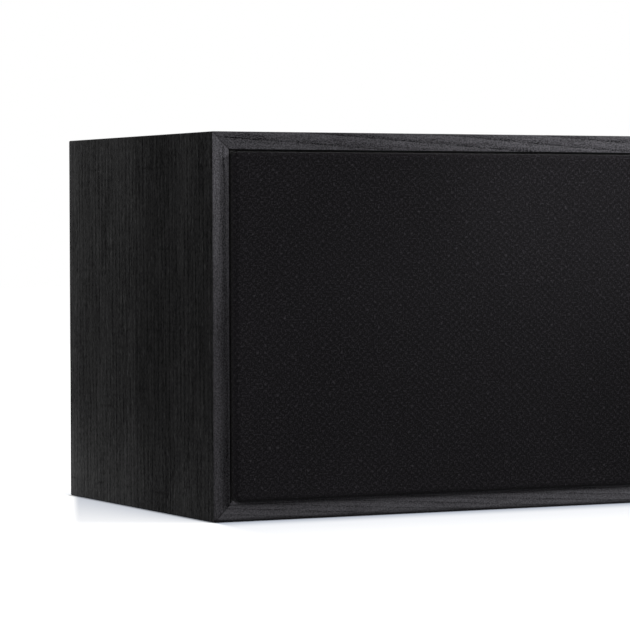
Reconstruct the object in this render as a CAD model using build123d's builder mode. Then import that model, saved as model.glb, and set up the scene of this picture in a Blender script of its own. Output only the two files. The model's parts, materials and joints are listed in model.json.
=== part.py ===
from build123d import *
import math
import os

# A center channel loudspeaker: a mitred wooden cabinet with a cloth grille set into its front,
# two cone woofers either side of a dome tweeter, a crossover, a port and a terminal cup.
# Millimetres. X is the width, -Y faces the listener and +Z is up.
# The origin is on the floor under the middle of the whole loudspeaker.

# Cabinet
cabinet_width = 500.0
cabinet_height = 200.0
cabinet_depth = 193.0  # from the front edges to the rear face
wall = 15.0
frame_lip = 9.0  # width of the wall edges that frame the grille and the rear panel
corner_round = 0.8
front_round = 0.6
grille_recess = 8.0  # depth of the baffle's face behind the front edges
ledge_width = 1.0  # fine step inside the front edges, where their veneer stops short of the recess
ledge_depth = 0.6
baffle_thickness = 18.0
rear_panel_thickness = 15.0
brace_thickness = 12.0
brace_rail = 26.0
brace_window_round = 18.0
pad_thickness = 12.0
pad_margin = 14.0

# Clearances
glue_gap = 0.1  # bond line round a piece that is glued or pressed into another
seat_gap = 0.4  # room round a piece that drops into a recess
hole_gap = 0.5  # room round a screw in the piece that it holds

# Grille
grille_proud = 5.0  # how far the cloth's face stands in front of the cabinet
grille_gap = 0.35  # air between the cloth and the sides of its recess
grille_seat = 0.4  # air between the grille's back and the baffle
grille_rail = 16.0
grille_mullion = 14.0
grille_corner = 3.0
grille_edge = 2.5
cloth_thickness = 0.8
cloth_hem = 4.0  # turned in behind the frame
peg_radius = 3.0
peg_grip = 7.0
peg_reach = 11.0
peg_tip = 0.8
peg_inset = 32.0
peg_clearance = 0.35
socket_wall = 1.6
socket_rim = 2.0
socket_rim_thickness = 1.0
socket_floor = 1.5

# Woofer
woofer_flange_radius = 73.0
woofer_flange_thickness = 4.0
woofer_side_margin = 17.0  # from the flange to the end of the baffle
woofer_flange_width = 10.5  # the flange's reach outside the basket's throat, where the screws sit
woofer_rim_width = 7.0  # from the throat to the surround's roll, where the gasket sits
woofer_roll_width = 8.5
woofer_lip_width = 3.0
woofer_ledge_depth = 1.2
woofer_gasket_proud = 1.2
surround_thickness = 0.9
basket_wall = 2.6
basket_waist_radius = 47.0
basket_windows = 6
basket_leg = 18.0
basket_window_margin = 5.0
spider_depth = 35.0
spider_landing = 4.0
spider_thickness = 0.6
spider_wave = 1.4
spider_waves = 3
cone_depth = 27.0
cone_thickness = 1.0
dust_cap_radius = 20.0
dust_cap_rise = 7.0
dust_cap_thickness = 0.6
coil_radius = 12.5
coil_former = 0.35
coil_winding = 0.65
coil_height = 12.0
coil_tail = 1.5
coil_clearance = 0.45  # air each side of the coil in the magnet's gap
motor_depth = 47.0  # front of the woofer's top plate, behind the baffle's face
top_plate_radius = 42.0
top_plate_thickness = 6.0
magnet_radius = 45.0
magnet_bore = 20.0
magnet_thickness = 16.0
yoke_plate = 6.0
woofer_screws = 4

# Tweeter
tweeter_plate_radius = 52.0
tweeter_plate_thickness = 4.0
tweeter_mouth_radius = 24.0
tweeter_boss_radius = 36.0
tweeter_boss_depth = 8.0
dome_radius = 12.9
dome_rise = 5.5
dome_thickness = 0.5
dome_roll = 4.3
dome_roll_rise = 1.5
dome_rim = 2.8
tweeter_coil_wall = 0.5
tweeter_coil_height = 5.0
tweeter_top_plate = 4.0
tweeter_magnet_bore = 18.0
tweeter_magnet_thickness = 10.0
tweeter_yoke_plate = 5.0
tweeter_screws = 4

# Screws
screw_radius = 1.9
screw_length = 13.0
screw_head_radius = 3.6
countersink = 45.0  # half angle of a countersunk head
screw_angle = 45.0  # where the first screw of each driver sits on its circle

# Rear fittings
rear_flange_thickness = 2.5  # of the port and the terminal cup, let into the rear panel

# Port
port_radius = 19.0
port_length = 84.0
port_wall = 2.5
port_flare = 8.0
port_flange = 6.0

# Terminal cup
cup_width = 84.0
cup_height = 54.0
cup_corner = 8.0
cup_depth = 21.5
cup_wall = 2.5
cup_taper = 4.0
cup_flange = 10.0
post_spacing = 38.0
post_radius = 3.2
post_bore = 2.0  # takes a 4 mm banana plug
post_bore_depth = 14.0
post_sunk = 1.0  # end of the post below the cabinet's rear face
post_collar_radius = 6.5
post_collar = 2.5
post_tail = 12.0
post_wire_hole = 1.4
cap_radius = 7.5
cap_flutes = 12
cap_flute_radius = 0.9
cap_clearance = 0.08
cap_lift = 0.3  # air between the cap and the post's collar
nut_width = 10.0
nut_thickness = 4.0

# Crossover
board_side_gap = 7.75  # from the board's ends to the braces
board_depth = 84.0
board_thickness = 1.6
board_inset = 6.0
standoff_height = 6.0
standoff_radius = 3.0
standoff_foot = 6.0
standoff_foot_thickness = 1.2
standoff_pin = 1.4
standoff_pin_height = 2.5
inductor_radius = 17.0
inductor_bore = 8.0
inductor_height = 15.0
inductor_spacing = 40.0
capacitor_radius = 7.0
capacitor_length = 30.0
capacitor_spacing = 18.0
resistor_size = 7.0
resistor_length = 24.0
component_gap = 12.0  # between the capacitors and the resistors

# Places that follow from the sizes above
total_depth = cabinet_depth + grille_proud
front_y = grille_proud - total_depth / 2
rear_y = total_depth / 2
mid_z = cabinet_height / 2
opening_width = cabinet_width - 2 * frame_lip
opening_height = cabinet_height - 2 * frame_lip
recess_width = opening_width - 2 * ledge_width
recess_height = opening_height - 2 * ledge_width
recess_corner = grille_corner + grille_gap
baffle_face = front_y + grille_recess
baffle_back = baffle_face + baffle_thickness
rear_panel_face = rear_y - rear_panel_thickness
inside_width = cabinet_width - 2 * wall
inside_height = cabinet_height - 2 * wall
inside_depth = rear_panel_face - baffle_back
inside_mid_y = (rear_panel_face + baffle_back) / 2
woofer_x = recess_width / 2 - woofer_flange_radius - woofer_side_margin
woofer_throat_radius = woofer_flange_radius - woofer_flange_width
woofer_roll_outer = woofer_throat_radius - woofer_rim_width
woofer_roll_inner = woofer_roll_outer - woofer_roll_width
woofer_cutout = woofer_throat_radius + 2 * seat_gap
woofer_screw_circle = (woofer_cutout + woofer_flange_radius) / 2
tweeter_cutout = tweeter_boss_radius + 2 * seat_gap
tweeter_screw_circle = (tweeter_cutout + tweeter_plate_radius) / 2
mullion_x = (tweeter_plate_radius + woofer_x - woofer_flange_radius) / 2
grille_width = recess_width - 2 * grille_gap
grille_height = recess_height - 2 * grille_gap
grille_back = baffle_face - grille_seat
grille_depth = grille_recess + grille_proud - grille_seat
frame_width = grille_width - 2 * cloth_thickness
frame_height = grille_height - 2 * cloth_thickness
frame_back = grille_back - cloth_thickness
frame_depth = grille_depth - 2 * cloth_thickness
peg_x = frame_width / 2 - peg_inset
peg_z = frame_height / 2 - grille_rail / 2
socket_radius = peg_radius + peg_clearance + socket_wall
socket_depth = peg_reach - grille_seat + peg_clearance + socket_floor
port_x = -woofer_x
capacitor_inset = board_inset + 2 * standoff_foot
resistor_inset = board_inset + standoff_foot
board_width = capacitor_inset + capacitor_length + component_gap + resistor_length + resistor_inset
brace_x = board_width / 2 + board_side_gap + brace_thickness / 2
screw_head_depth = (screw_head_radius - screw_radius) / math.tan(math.radians(countersink))


def facing(y, x=0.0, z=0.0):
    """A plane square to the depth: local X is the width, local Y is up, its normal faces the listener."""
    return Plane(origin=(x, y, z), x_dir=(1, 0, 0), z_dir=(0, -1, 0))


def turning(y, x, z, inward=1):
    """A plane through a turned piece's axis: local X is the radius and local Y the depth.

    Depth is counted towards the rear, or towards the front where inward is -1.
    """
    return Plane(origin=(x, y, z), x_dir=(1, 0, 0), z_dir=(0, 0, inward))


def half_section(plane, *outline):
    """The half section of a turned piece, from its (radius, depth) corners."""
    with BuildSketch(plane) as section:
        with BuildLine():
            Polyline(*outline, close=True)
        make_face()
    return section.sketch


def ring_section(plane, inner, outer, start, end):
    """The half section of a plain ring between two radii and two depths."""
    return half_section(plane, (inner, start), (outer, start), (outer, end), (inner, end))


def axis_of(plane):
    """The turning axis of a plane made by turning()."""
    return Axis(plane.origin, plane.y_dir)


def cap_middle(radius, rise):
    """The point halfway up a domed cap's arc, as (radius, height above the rim)."""
    sphere = (radius**2 + rise**2) / (2 * rise)
    half_angle = math.asin(radius / sphere) / 2
    return sphere * math.sin(half_angle), rise - sphere * (1 - math.cos(half_angle))


def save(piece, name):
    """Labels a finished piece and writes its STEP file."""
    piece.label = name
    export_step(piece, f"parts/{name}.step")


os.makedirs("parts", exist_ok=True)

# Cabinet walls. One tube with eased edges is rebated at both ends and mitred into four boards.
with BuildPart() as wrap:
    with BuildSketch(facing(front_y, 0, mid_z)):
        RectangleRounded(cabinet_width, cabinet_height, corner_round)
    extrude(amount=-cabinet_depth)
    fillet(wrap.faces().sort_by(Axis.Y)[0].edges(), radius=front_round)
    with BuildSketch(facing(front_y, 0, mid_z)):
        Rectangle(inside_width, inside_height)
    extrude(amount=-cabinet_depth, mode=Mode.SUBTRACT)
    with BuildSketch(facing(front_y, 0, mid_z)):
        Rectangle(opening_width, opening_height)
    extrude(amount=-ledge_depth, mode=Mode.SUBTRACT)
    with BuildSketch(facing(front_y, 0, mid_z)):
        RectangleRounded(recess_width, recess_height, recess_corner)
    extrude(amount=-(grille_recess + baffle_thickness), mode=Mode.SUBTRACT)
    with BuildSketch(facing(rear_y, 0, mid_z)):
        Rectangle(opening_width, opening_height)
    extrude(amount=rear_panel_thickness, mode=Mode.SUBTRACT)

half_width = cabinet_width / 2
inner_half = half_width - wall
ceiling = cabinet_height - wall
wall_outlines = {
    "top_panel": [
        (-half_width, cabinet_height),
        (half_width, cabinet_height),
        (inner_half, ceiling),
        (-inner_half, ceiling),
    ],
    "bottom_panel": [(-half_width, 0), (half_width, 0), (inner_half, wall), (-inner_half, wall)],
    "left_panel": [
        (-half_width, 0),
        (-inner_half, wall),
        (-inner_half, ceiling),
        (-half_width, cabinet_height),
    ],
    "right_panel": [
        (half_width, 0),
        (inner_half, wall),
        (inner_half, ceiling),
        (half_width, cabinet_height),
    ],
}
for name, outline in wall_outlines.items():
    with BuildPart() as board:
        add(wrap.part)
        with BuildSketch(facing(front_y)):
            Polygon(*outline, align=None)
        extrude(amount=-cabinet_depth, mode=Mode.INTERSECT)
    save(board.part, name)

# Front baffle, with the drivers' recesses and openings, the grille's sockets and the screws' pilot holes.
woofer_places = [(-woofer_x, 0), (woofer_x, 0)]
woofer_pilot = screw_length - woofer_flange_thickness + seat_gap
tweeter_pilot = screw_length - tweeter_plate_thickness + seat_gap
with BuildPart() as front_baffle:
    with BuildSketch(facing(baffle_face, 0, mid_z)):
        RectangleRounded(
            recess_width - 2 * glue_gap, recess_height - 2 * glue_gap, recess_corner - glue_gap
        )
    extrude(amount=-baffle_thickness)
    with BuildSketch(facing(baffle_face, 0, mid_z)):
        with Locations(*woofer_places):
            Circle(woofer_flange_radius + seat_gap)
    extrude(amount=-woofer_flange_thickness, mode=Mode.SUBTRACT)
    with BuildSketch(facing(baffle_face, 0, mid_z)):
        Circle(tweeter_plate_radius + seat_gap)
    extrude(amount=-tweeter_plate_thickness, mode=Mode.SUBTRACT)
    with BuildSketch(facing(baffle_face, 0, mid_z)):
        with Locations(*woofer_places):
            Circle(woofer_cutout)
        Circle(tweeter_cutout)
    extrude(amount=-baffle_thickness, mode=Mode.SUBTRACT)
    with BuildSketch(facing(baffle_face, 0, mid_z)):
        with GridLocations(peg_x, 2 * peg_z, 3, 2):
            Circle(socket_radius + socket_rim + glue_gap)
    extrude(amount=-socket_rim_thickness, mode=Mode.SUBTRACT)
    with BuildSketch(facing(baffle_face, 0, mid_z)):
        with GridLocations(peg_x, 2 * peg_z, 3, 2):
            Circle(socket_radius + glue_gap)
    extrude(amount=-socket_depth - glue_gap, mode=Mode.SUBTRACT)
    for x in (-woofer_x, woofer_x):
        with BuildSketch(facing(baffle_face + woofer_flange_thickness, x, mid_z)):
            with PolarLocations(woofer_screw_circle, woofer_screws, screw_angle):
                Circle(screw_radius + glue_gap)
        extrude(amount=-woofer_pilot, mode=Mode.SUBTRACT)
    with BuildSketch(facing(baffle_face + tweeter_plate_thickness, 0, mid_z)):
        with PolarLocations(tweeter_screw_circle, tweeter_screws, screw_angle):
            Circle(screw_radius + glue_gap)
    extrude(amount=-tweeter_pilot, mode=Mode.SUBTRACT)
save(front_baffle.part, "front_baffle")

# Rear panel, with recesses for the port's flange and the terminal cup.
cup_flange_width = cup_width + 2 * cup_flange
cup_flange_height = cup_height + 2 * cup_flange
cup_screw_x = cup_flange_width - cup_flange
cup_screw_z = cup_flange_height - cup_flange
cup_screw_hole_depth = screw_length - rear_flange_thickness
port_mouth = port_radius + port_flare
port_flange_radius = port_mouth + port_flange
with BuildPart() as rear_panel:
    with BuildSketch(facing(rear_y, 0, mid_z)):
        Rectangle(opening_width - 2 * glue_gap, opening_height - 2 * glue_gap)
    extrude(amount=rear_panel_thickness)
    with BuildSketch(facing(rear_y, port_x, mid_z)):
        Circle(port_flange_radius + seat_gap)
    extrude(amount=rear_flange_thickness, mode=Mode.SUBTRACT)
    with BuildSketch(facing(rear_y, port_x, mid_z)):
        Circle(port_mouth + port_wall + seat_gap)
    extrude(amount=rear_panel_thickness, mode=Mode.SUBTRACT)
    with BuildSketch(facing(rear_y, 0, mid_z)):
        RectangleRounded(cup_flange_width + 2 * seat_gap, cup_flange_height + 2 * seat_gap, cup_corner)
    extrude(amount=rear_flange_thickness, mode=Mode.SUBTRACT)
    with BuildSketch(facing(rear_y, 0, mid_z)):
        RectangleRounded(cup_width + 2 * seat_gap, cup_height + 2 * seat_gap, cup_corner)
    extrude(amount=rear_panel_thickness, mode=Mode.SUBTRACT)
    with BuildSketch(facing(rear_y - rear_flange_thickness, 0, mid_z)):
        with GridLocations(cup_screw_x, cup_screw_z, 2, 2):
            Circle(screw_radius + glue_gap)
    extrude(amount=cup_screw_hole_depth, mode=Mode.SUBTRACT)
save(rear_panel.part, "rear_panel")

# Window braces that tie the walls together between the drivers, and foam on the end walls.
for name, side in (("left_brace", -1), ("right_brace", 1)):
    brace_plane = Plane(
        origin=(side * brace_x, inside_mid_y, mid_z), x_dir=(0, 1, 0), z_dir=(1, 0, 0)
    )
    with BuildPart() as brace:
        with BuildSketch(brace_plane):
            Rectangle(inside_depth - 2 * glue_gap, inside_height - 2 * glue_gap)
            RectangleRounded(
                inside_depth - 2 * brace_rail,
                inside_height - 2 * brace_rail,
                brace_window_round,
                mode=Mode.SUBTRACT,
            )
        extrude(amount=brace_thickness / 2, both=True)
    save(brace.part, name)

for name, side in (("left_damping_pad", -1), ("right_damping_pad", 1)):
    pad_plane = Plane(
        origin=(side * (inside_width / 2 - glue_gap), inside_mid_y, mid_z),
        x_dir=(0, 1, 0),
        z_dir=(-side, 0, 0),
    )
    with BuildPart() as pad:
        with BuildSketch(pad_plane):
            Rectangle(inside_depth - 2 * pad_margin, inside_height - 2 * pad_margin)
        extrude(amount=pad_thickness)
    save(pad.part, name)

# Grille. The frame's front edges are rolled, and the cloth is drawn over them and turned in behind.
cloth_inner_edge = grille_edge - cloth_thickness
cloth_inner_corner = grille_corner - cloth_thickness
window_height = frame_height - 2 * grille_rail
middle_window = 2 * mullion_x - grille_mullion
end_window = frame_width / 2 - grille_rail - mullion_x - grille_mullion / 2
end_window_x = mullion_x + grille_mullion / 2 + end_window / 2
with BuildPart() as frame_envelope:
    with BuildSketch(facing(frame_back, 0, mid_z)):
        RectangleRounded(frame_width, frame_height, cloth_inner_corner)
    extrude(amount=frame_depth)
    fillet(frame_envelope.faces().sort_by(Axis.Y)[0].edges(), radius=cloth_inner_edge)

with BuildPart() as grille_frame:
    add(frame_envelope.part)
    with BuildSketch(facing(frame_back, 0, mid_z)):
        Rectangle(middle_window, window_height)
        with Locations((-end_window_x, 0), (end_window_x, 0)):
            Rectangle(end_window, window_height)
    extrude(amount=frame_depth, mode=Mode.SUBTRACT)
    with BuildSketch(facing(frame_back, 0, mid_z)):
        with GridLocations(peg_x, 2 * peg_z, 3, 2):
            Circle(peg_radius + glue_gap)
    extrude(amount=peg_grip + glue_gap, mode=Mode.SUBTRACT)
save(grille_frame.part, "grille_frame")

with BuildPart() as grille_cloth:
    with BuildSketch(facing(grille_back, 0, mid_z)):
        RectangleRounded(grille_width, grille_height, grille_corner)
    extrude(amount=grille_depth)
    fillet(grille_cloth.faces().sort_by(Axis.Y)[0].edges(), radius=grille_edge)
    add(frame_envelope.part, mode=Mode.SUBTRACT)
    with BuildSketch(facing(grille_back, 0, mid_z)):
        Rectangle(frame_width - 2 * cloth_hem, frame_height - 2 * cloth_hem)
    extrude(amount=cloth_thickness, mode=Mode.SUBTRACT)
save(grille_cloth.part, "grille_cloth")

with BuildPart() as grille_pegs:
    with BuildSketch(facing(frame_back - peg_grip, 0, mid_z)):
        with GridLocations(peg_x, 2 * peg_z, 3, 2):
            Circle(peg_radius)
    extrude(amount=-(peg_grip + cloth_thickness + peg_reach))
    chamfer(grille_pegs.faces().group_by(Axis.Y)[-1].edges(), length=peg_tip)
save(grille_pegs.part, "grille_pegs")

with BuildPart() as grille_sockets:
    with BuildSketch(facing(baffle_face, 0, mid_z)):
        with GridLocations(peg_x, 2 * peg_z, 3, 2):
            Circle(socket_radius + socket_rim)
    extrude(amount=-socket_rim_thickness)
    with BuildSketch(facing(baffle_face, 0, mid_z)):
        with GridLocations(peg_x, 2 * peg_z, 3, 2):
            Circle(socket_radius)
    extrude(amount=-socket_depth)
    with BuildSketch(facing(baffle_face, 0, mid_z)):
        with GridLocations(peg_x, 2 * peg_z, 3, 2):
            Circle(peg_radius + peg_clearance)
    extrude(amount=-(socket_depth - socket_floor), mode=Mode.SUBTRACT)
save(grille_sockets.part, "grille_sockets")


def driver_screws(x, circle, count):
    """Countersunk screws on a circle, flush with the baffle's face."""
    with BuildPart() as screws:
        with BuildSketch(facing(baffle_face, x, mid_z)):
            with PolarLocations(circle, count, screw_angle):
                Circle(screw_head_radius)
        extrude(amount=-screw_head_depth, taper=countersink)
        with BuildSketch(facing(baffle_face, x, mid_z)):
            with PolarLocations(circle, count, screw_angle):
                Circle(screw_radius)
        extrude(amount=-screw_length)
    return screws.part


# Woofer. Depths are counted from the baffle's face.
ledge_radius = woofer_throat_radius - glue_gap
landing_radius = basket_waist_radius - basket_wall - spider_landing
former_outer = coil_radius + coil_former
winding_outer = former_outer + coil_winding
neck_radius = former_outer + glue_gap
cone_lip_radius = woofer_roll_inner - woofer_lip_width
cone_top = woofer_ledge_depth + glue_gap
neck_depth = cone_top + cone_depth
coil_middle = motor_depth + top_plate_thickness / 2
coil_start = coil_middle - coil_height / 2
coil_end = coil_middle + coil_height / 2
magnet_face = motor_depth + top_plate_thickness
yoke_face = magnet_face + magnet_thickness
gap_radius = winding_outer + coil_clearance
pole_radius = coil_radius - coil_clearance


def woofer_basket(x):
    """Basket: a flange, a windowed cone of legs, a ledge for the spider and a plate for the motor."""
    plane = turning(baffle_face, x, mid_z)
    waist_inner = basket_waist_radius - basket_wall
    throat_inner = woofer_throat_radius - basket_wall
    lip_back = woofer_ledge_depth + basket_wall
    landing_back = spider_depth + basket_wall
    plate_face = motor_depth - basket_wall
    plate_hole = gap_radius + basket_wall
    outline = [
        (ledge_radius, 0),
        (woofer_flange_radius, 0),
        (woofer_flange_radius, woofer_flange_thickness),
        (woofer_throat_radius, woofer_flange_thickness),
        (basket_waist_radius, spider_depth),
        (basket_waist_radius, motor_depth),
        (plate_hole, motor_depth),
        (plate_hole, plate_face),
        (waist_inner, plate_face),
        (waist_inner, landing_back),
        (landing_radius, landing_back),
        (landing_radius, spider_depth),
        (waist_inner, spider_depth),
        (throat_inner, lip_back),
        (woofer_roll_outer, lip_back),
        (woofer_roll_outer, woofer_ledge_depth),
        (ledge_radius, woofer_ledge_depth),
    ]
    window_start = woofer_flange_thickness + basket_window_margin
    window_depth = spider_depth - basket_window_margin - window_start
    leg_circle = (basket_waist_radius + woofer_throat_radius) / 2
    window_reach = woofer_throat_radius - basket_waist_radius + 3 * basket_wall
    window_width = 2 * leg_circle * math.sin(math.pi / basket_windows) - basket_leg
    with BuildPart() as basket:
        revolve(half_section(plane, *outline), axis=axis_of(plane))
        with BuildSketch(facing(baffle_face + window_start, x, mid_z)):
            with PolarLocations(leg_circle, basket_windows):
                Rectangle(window_reach, window_width)
        extrude(amount=-window_depth, mode=Mode.SUBTRACT)
        with BuildSketch(facing(baffle_face, x, mid_z)):
            with PolarLocations(woofer_screw_circle, woofer_screws, screw_angle):
                Circle(screw_radius + hole_gap)
        extrude(amount=-woofer_flange_thickness, mode=Mode.SUBTRACT)
        with BuildSketch(facing(baffle_face, x, mid_z)):
            with PolarLocations(woofer_screw_circle, woofer_screws, screw_angle):
                Circle(screw_head_radius + hole_gap)
        extrude(amount=-screw_head_depth, taper=countersink, mode=Mode.SUBTRACT)
    return basket.part


def woofer_gasket(x):
    """Gasket: a ring that clamps the surround's rim to the basket's ledge."""
    plane = turning(baffle_face, x, mid_z)
    inner = woofer_roll_outer + seat_gap
    rim_face = woofer_ledge_depth - surround_thickness
    with BuildPart() as gasket:
        revolve(
            ring_section(plane, inner, ledge_radius - seat_gap, -woofer_gasket_proud, rim_face),
            axis=axis_of(plane),
        )
    return gasket.part


def woofer_surround(x):
    """Surround: a rubber half roll with a flat lip on the cone and a flat rim on the basket."""
    plane = turning(baffle_face, x, mid_z)
    face = woofer_ledge_depth - surround_thickness
    back = woofer_ledge_depth
    roll_middle = (woofer_roll_inner + woofer_roll_outer) / 2
    roll = (woofer_roll_outer - woofer_roll_inner) / 2
    under = roll - surround_thickness
    lip = cone_lip_radius + seat_gap
    rim = ledge_radius - seat_gap
    with BuildPart() as surround:
        with BuildSketch(plane):
            with BuildLine():
                Polyline((roll_middle - under, face), (roll_middle - under, back), (lip, back), (lip, face))
                Line((lip, face), (woofer_roll_inner, face))
                ThreePointArc(
                    (woofer_roll_inner, face), (roll_middle, face - roll), (woofer_roll_outer, face)
                )
                Polyline((woofer_roll_outer, face), (rim, face), (rim, back), (roll_middle + under, back))
                Line((roll_middle + under, back), (roll_middle + under, face))
                ThreePointArc(
                    (roll_middle + under, face), (roll_middle, face - under), (roll_middle - under, face)
                )
            make_face()
        revolve(axis=axis_of(plane))
    return surround.part


def woofer_cone(x):
    """Cone: straight-sided paper from the coil's neck to a flat lip under the surround."""
    plane = turning(baffle_face, x, mid_z)
    outline = [
        (cone_lip_radius, cone_top),
        (woofer_roll_inner, cone_top),
        (woofer_roll_inner, cone_top + cone_thickness),
        (cone_lip_radius, cone_top + cone_thickness),
        (neck_radius, neck_depth + cone_thickness),
        (neck_radius, neck_depth),
    ]
    with BuildPart() as cone:
        revolve(half_section(plane, *outline), axis=axis_of(plane))
    return cone.part


def woofer_dust_cap(x):
    """Dust cap: a domed paper cap glued to the cone over its neck."""
    plane = turning(baffle_face, x, mid_z)
    slope = cone_depth / (cone_lip_radius - neck_radius)
    rim = cone_top + (cone_lip_radius - dust_cap_radius) * slope - glue_gap - dust_cap_thickness
    middle_radius, middle_rise = cap_middle(dust_cap_radius, dust_cap_rise)
    with BuildPart() as dust_cap:
        with BuildSketch(plane):
            with BuildLine():
                ThreePointArc(
                    (0, rim - dust_cap_rise),
                    (middle_radius, rim - middle_rise),
                    (dust_cap_radius, rim),
                )
                Line((dust_cap_radius, rim), (dust_cap_radius, rim + dust_cap_thickness))
                ThreePointArc(
                    (dust_cap_radius, rim + dust_cap_thickness),
                    (middle_radius, rim + dust_cap_thickness - middle_rise),
                    (0, rim + dust_cap_thickness - dust_cap_rise),
                )
                Line((0, rim + dust_cap_thickness - dust_cap_rise), (0, rim - dust_cap_rise))
            make_face()
        revolve(axis=axis_of(plane))
    return dust_cap.part


def woofer_voice_coil(x):
    """Voice coil: a thin former that carries the winding in the magnet's gap."""
    plane = turning(baffle_face, x, mid_z)
    outline = [
        (coil_radius, neck_depth - coil_tail),
        (former_outer, neck_depth - coil_tail),
        (former_outer, coil_start),
        (winding_outer, coil_start),
        (winding_outer, coil_end),
        (former_outer, coil_end),
        (former_outer, coil_end + coil_tail),
        (coil_radius, coil_end + coil_tail),
    ]
    with BuildPart() as voice_coil:
        revolve(half_section(plane, *outline), axis=axis_of(plane))
    return voice_coil.part


def woofer_spider(x):
    """Spider: a pleated disc from the former to the basket's landing."""
    plane = turning(baffle_face, x, mid_z)
    face = spider_depth - spider_thickness
    inner_flat = neck_radius + spider_landing
    pleat = (landing_radius - inner_flat) / (2 * spider_waves)
    pleats = [
        (inner_flat + pleat * step, face + (spider_wave if step % 2 else 0) * (1 if step % 4 == 1 else -1))
        for step in range(2 * spider_waves + 1)
    ]
    rim = landing_radius + spider_landing - seat_gap
    front = [(neck_radius, face), *pleats, (rim, face)]
    back = [(radius, depth + spider_thickness) for radius, depth in reversed(front)]
    with BuildPart() as spider:
        revolve(half_section(plane, *front, *back), axis=axis_of(plane))
    return spider.part


def woofer_motor(x):
    """Motor: the top plate, the ferrite ring and the pole yoke, as three pieces."""
    plane = turning(baffle_face, x, mid_z)
    with BuildPart() as top_plate:
        revolve(
            ring_section(plane, gap_radius, top_plate_radius, motor_depth, magnet_face),
            axis=axis_of(plane),
        )
    with BuildPart() as magnet:
        revolve(
            ring_section(plane, magnet_bore, magnet_radius, magnet_face, yoke_face), axis=axis_of(plane)
        )
    yoke_outline = [
        (0, motor_depth),
        (pole_radius, motor_depth),
        (pole_radius, yoke_face),
        (top_plate_radius, yoke_face),
        (top_plate_radius, yoke_face + yoke_plate),
        (0, yoke_face + yoke_plate),
    ]
    with BuildPart() as pole_yoke:
        revolve(half_section(plane, *yoke_outline), axis=axis_of(plane))
    return {"top_plate": top_plate.part, "magnet": magnet.part, "pole_yoke": pole_yoke.part}


for side, x in (("left", -woofer_x), ("right", woofer_x)):
    pieces = {
        "basket": woofer_basket(x),
        "gasket": woofer_gasket(x),
        "surround": woofer_surround(x),
        "cone": woofer_cone(x),
        "dust_cap": woofer_dust_cap(x),
        "voice_coil": woofer_voice_coil(x),
        "spider": woofer_spider(x),
        **woofer_motor(x),
        "screws": driver_screws(x, woofer_screw_circle, woofer_screws),
    }
    for piece_name, piece in pieces.items():
        save(piece, f"{side}_woofer_{piece_name}")

# Tweeter. The faceplate holds the dome's rim against the motor's top plate.
tweeter_plane = turning(baffle_face, 0, mid_z)
tweeter_axis = axis_of(tweeter_plane)
dome_roll_outer = dome_radius + dome_roll
dome_rim_radius = dome_roll_outer + dome_rim
dome_face = tweeter_boss_depth - dome_thickness
rim_recess = dome_face - glue_gap
tweeter_gap = dome_radius + tweeter_coil_wall / 2 + coil_clearance
tweeter_pole = dome_radius - tweeter_coil_wall / 2 - coil_clearance
tweeter_magnet_face = tweeter_boss_depth + tweeter_top_plate
tweeter_yoke_face = tweeter_magnet_face + tweeter_magnet_thickness
faceplate_outline = [
    (tweeter_mouth_radius, 0),
    (tweeter_plate_radius, 0),
    (tweeter_plate_radius, tweeter_plate_thickness),
    (tweeter_boss_radius, tweeter_plate_thickness),
    (tweeter_boss_radius, tweeter_boss_depth),
    (dome_rim_radius + seat_gap, tweeter_boss_depth),
    (dome_rim_radius + seat_gap, rim_recess),
    (dome_roll_outer + seat_gap, rim_recess),
]
with BuildPart() as tweeter_faceplate:
    revolve(half_section(tweeter_plane, *faceplate_outline), axis=tweeter_axis)
    with BuildSketch(facing(baffle_face, 0, mid_z)):
        with PolarLocations(tweeter_screw_circle, tweeter_screws, screw_angle):
            Circle(screw_radius + hole_gap)
    extrude(amount=-tweeter_plate_thickness, mode=Mode.SUBTRACT)
    with BuildSketch(facing(baffle_face, 0, mid_z)):
        with PolarLocations(tweeter_screw_circle, tweeter_screws, screw_angle):
            Circle(screw_head_radius + hole_gap)
    extrude(amount=-screw_head_depth, taper=countersink, mode=Mode.SUBTRACT)
save(tweeter_faceplate.part, "tweeter_faceplate")

cap_radius_middle, cap_rise_middle = cap_middle(dome_radius, dome_rise)
roll_middle_radius = dome_radius + dome_roll / 2
dome_back = dome_face + dome_thickness
with BuildPart() as tweeter_dome:
    with BuildSketch(tweeter_plane):
        with BuildLine():
            ThreePointArc(
                (0, dome_face - dome_rise),
                (cap_radius_middle, dome_face - cap_rise_middle),
                (dome_radius, dome_face),
            )
            ThreePointArc(
                (dome_radius, dome_face),
                (roll_middle_radius, dome_face - dome_roll_rise),
                (dome_roll_outer, dome_face),
            )
            Polyline(
                (dome_roll_outer, dome_face),
                (dome_rim_radius, dome_face),
                (dome_rim_radius, dome_back),
                (dome_roll_outer, dome_back),
            )
            ThreePointArc(
                (dome_roll_outer, dome_back),
                (roll_middle_radius, dome_back - dome_roll_rise),
                (dome_radius, dome_back),
            )
            ThreePointArc(
                (dome_radius, dome_back),
                (cap_radius_middle, dome_back - cap_rise_middle),
                (0, dome_back - dome_rise),
            )
            Line((0, dome_back - dome_rise), (0, dome_face - dome_rise))
        make_face()
    revolve(axis=tweeter_axis)
save(tweeter_dome.part, "tweeter_dome")

coil_inner = dome_radius - tweeter_coil_wall / 2
coil_outer = dome_radius + tweeter_coil_wall / 2
tweeter_coil_start = dome_back + glue_gap
tweeter_coil_end = tweeter_coil_start + tweeter_coil_height
with BuildPart() as tweeter_voice_coil:
    revolve(
        ring_section(tweeter_plane, coil_inner, coil_outer, tweeter_coil_start, tweeter_coil_end),
        axis=tweeter_axis,
    )
save(tweeter_voice_coil.part, "tweeter_voice_coil")

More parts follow.
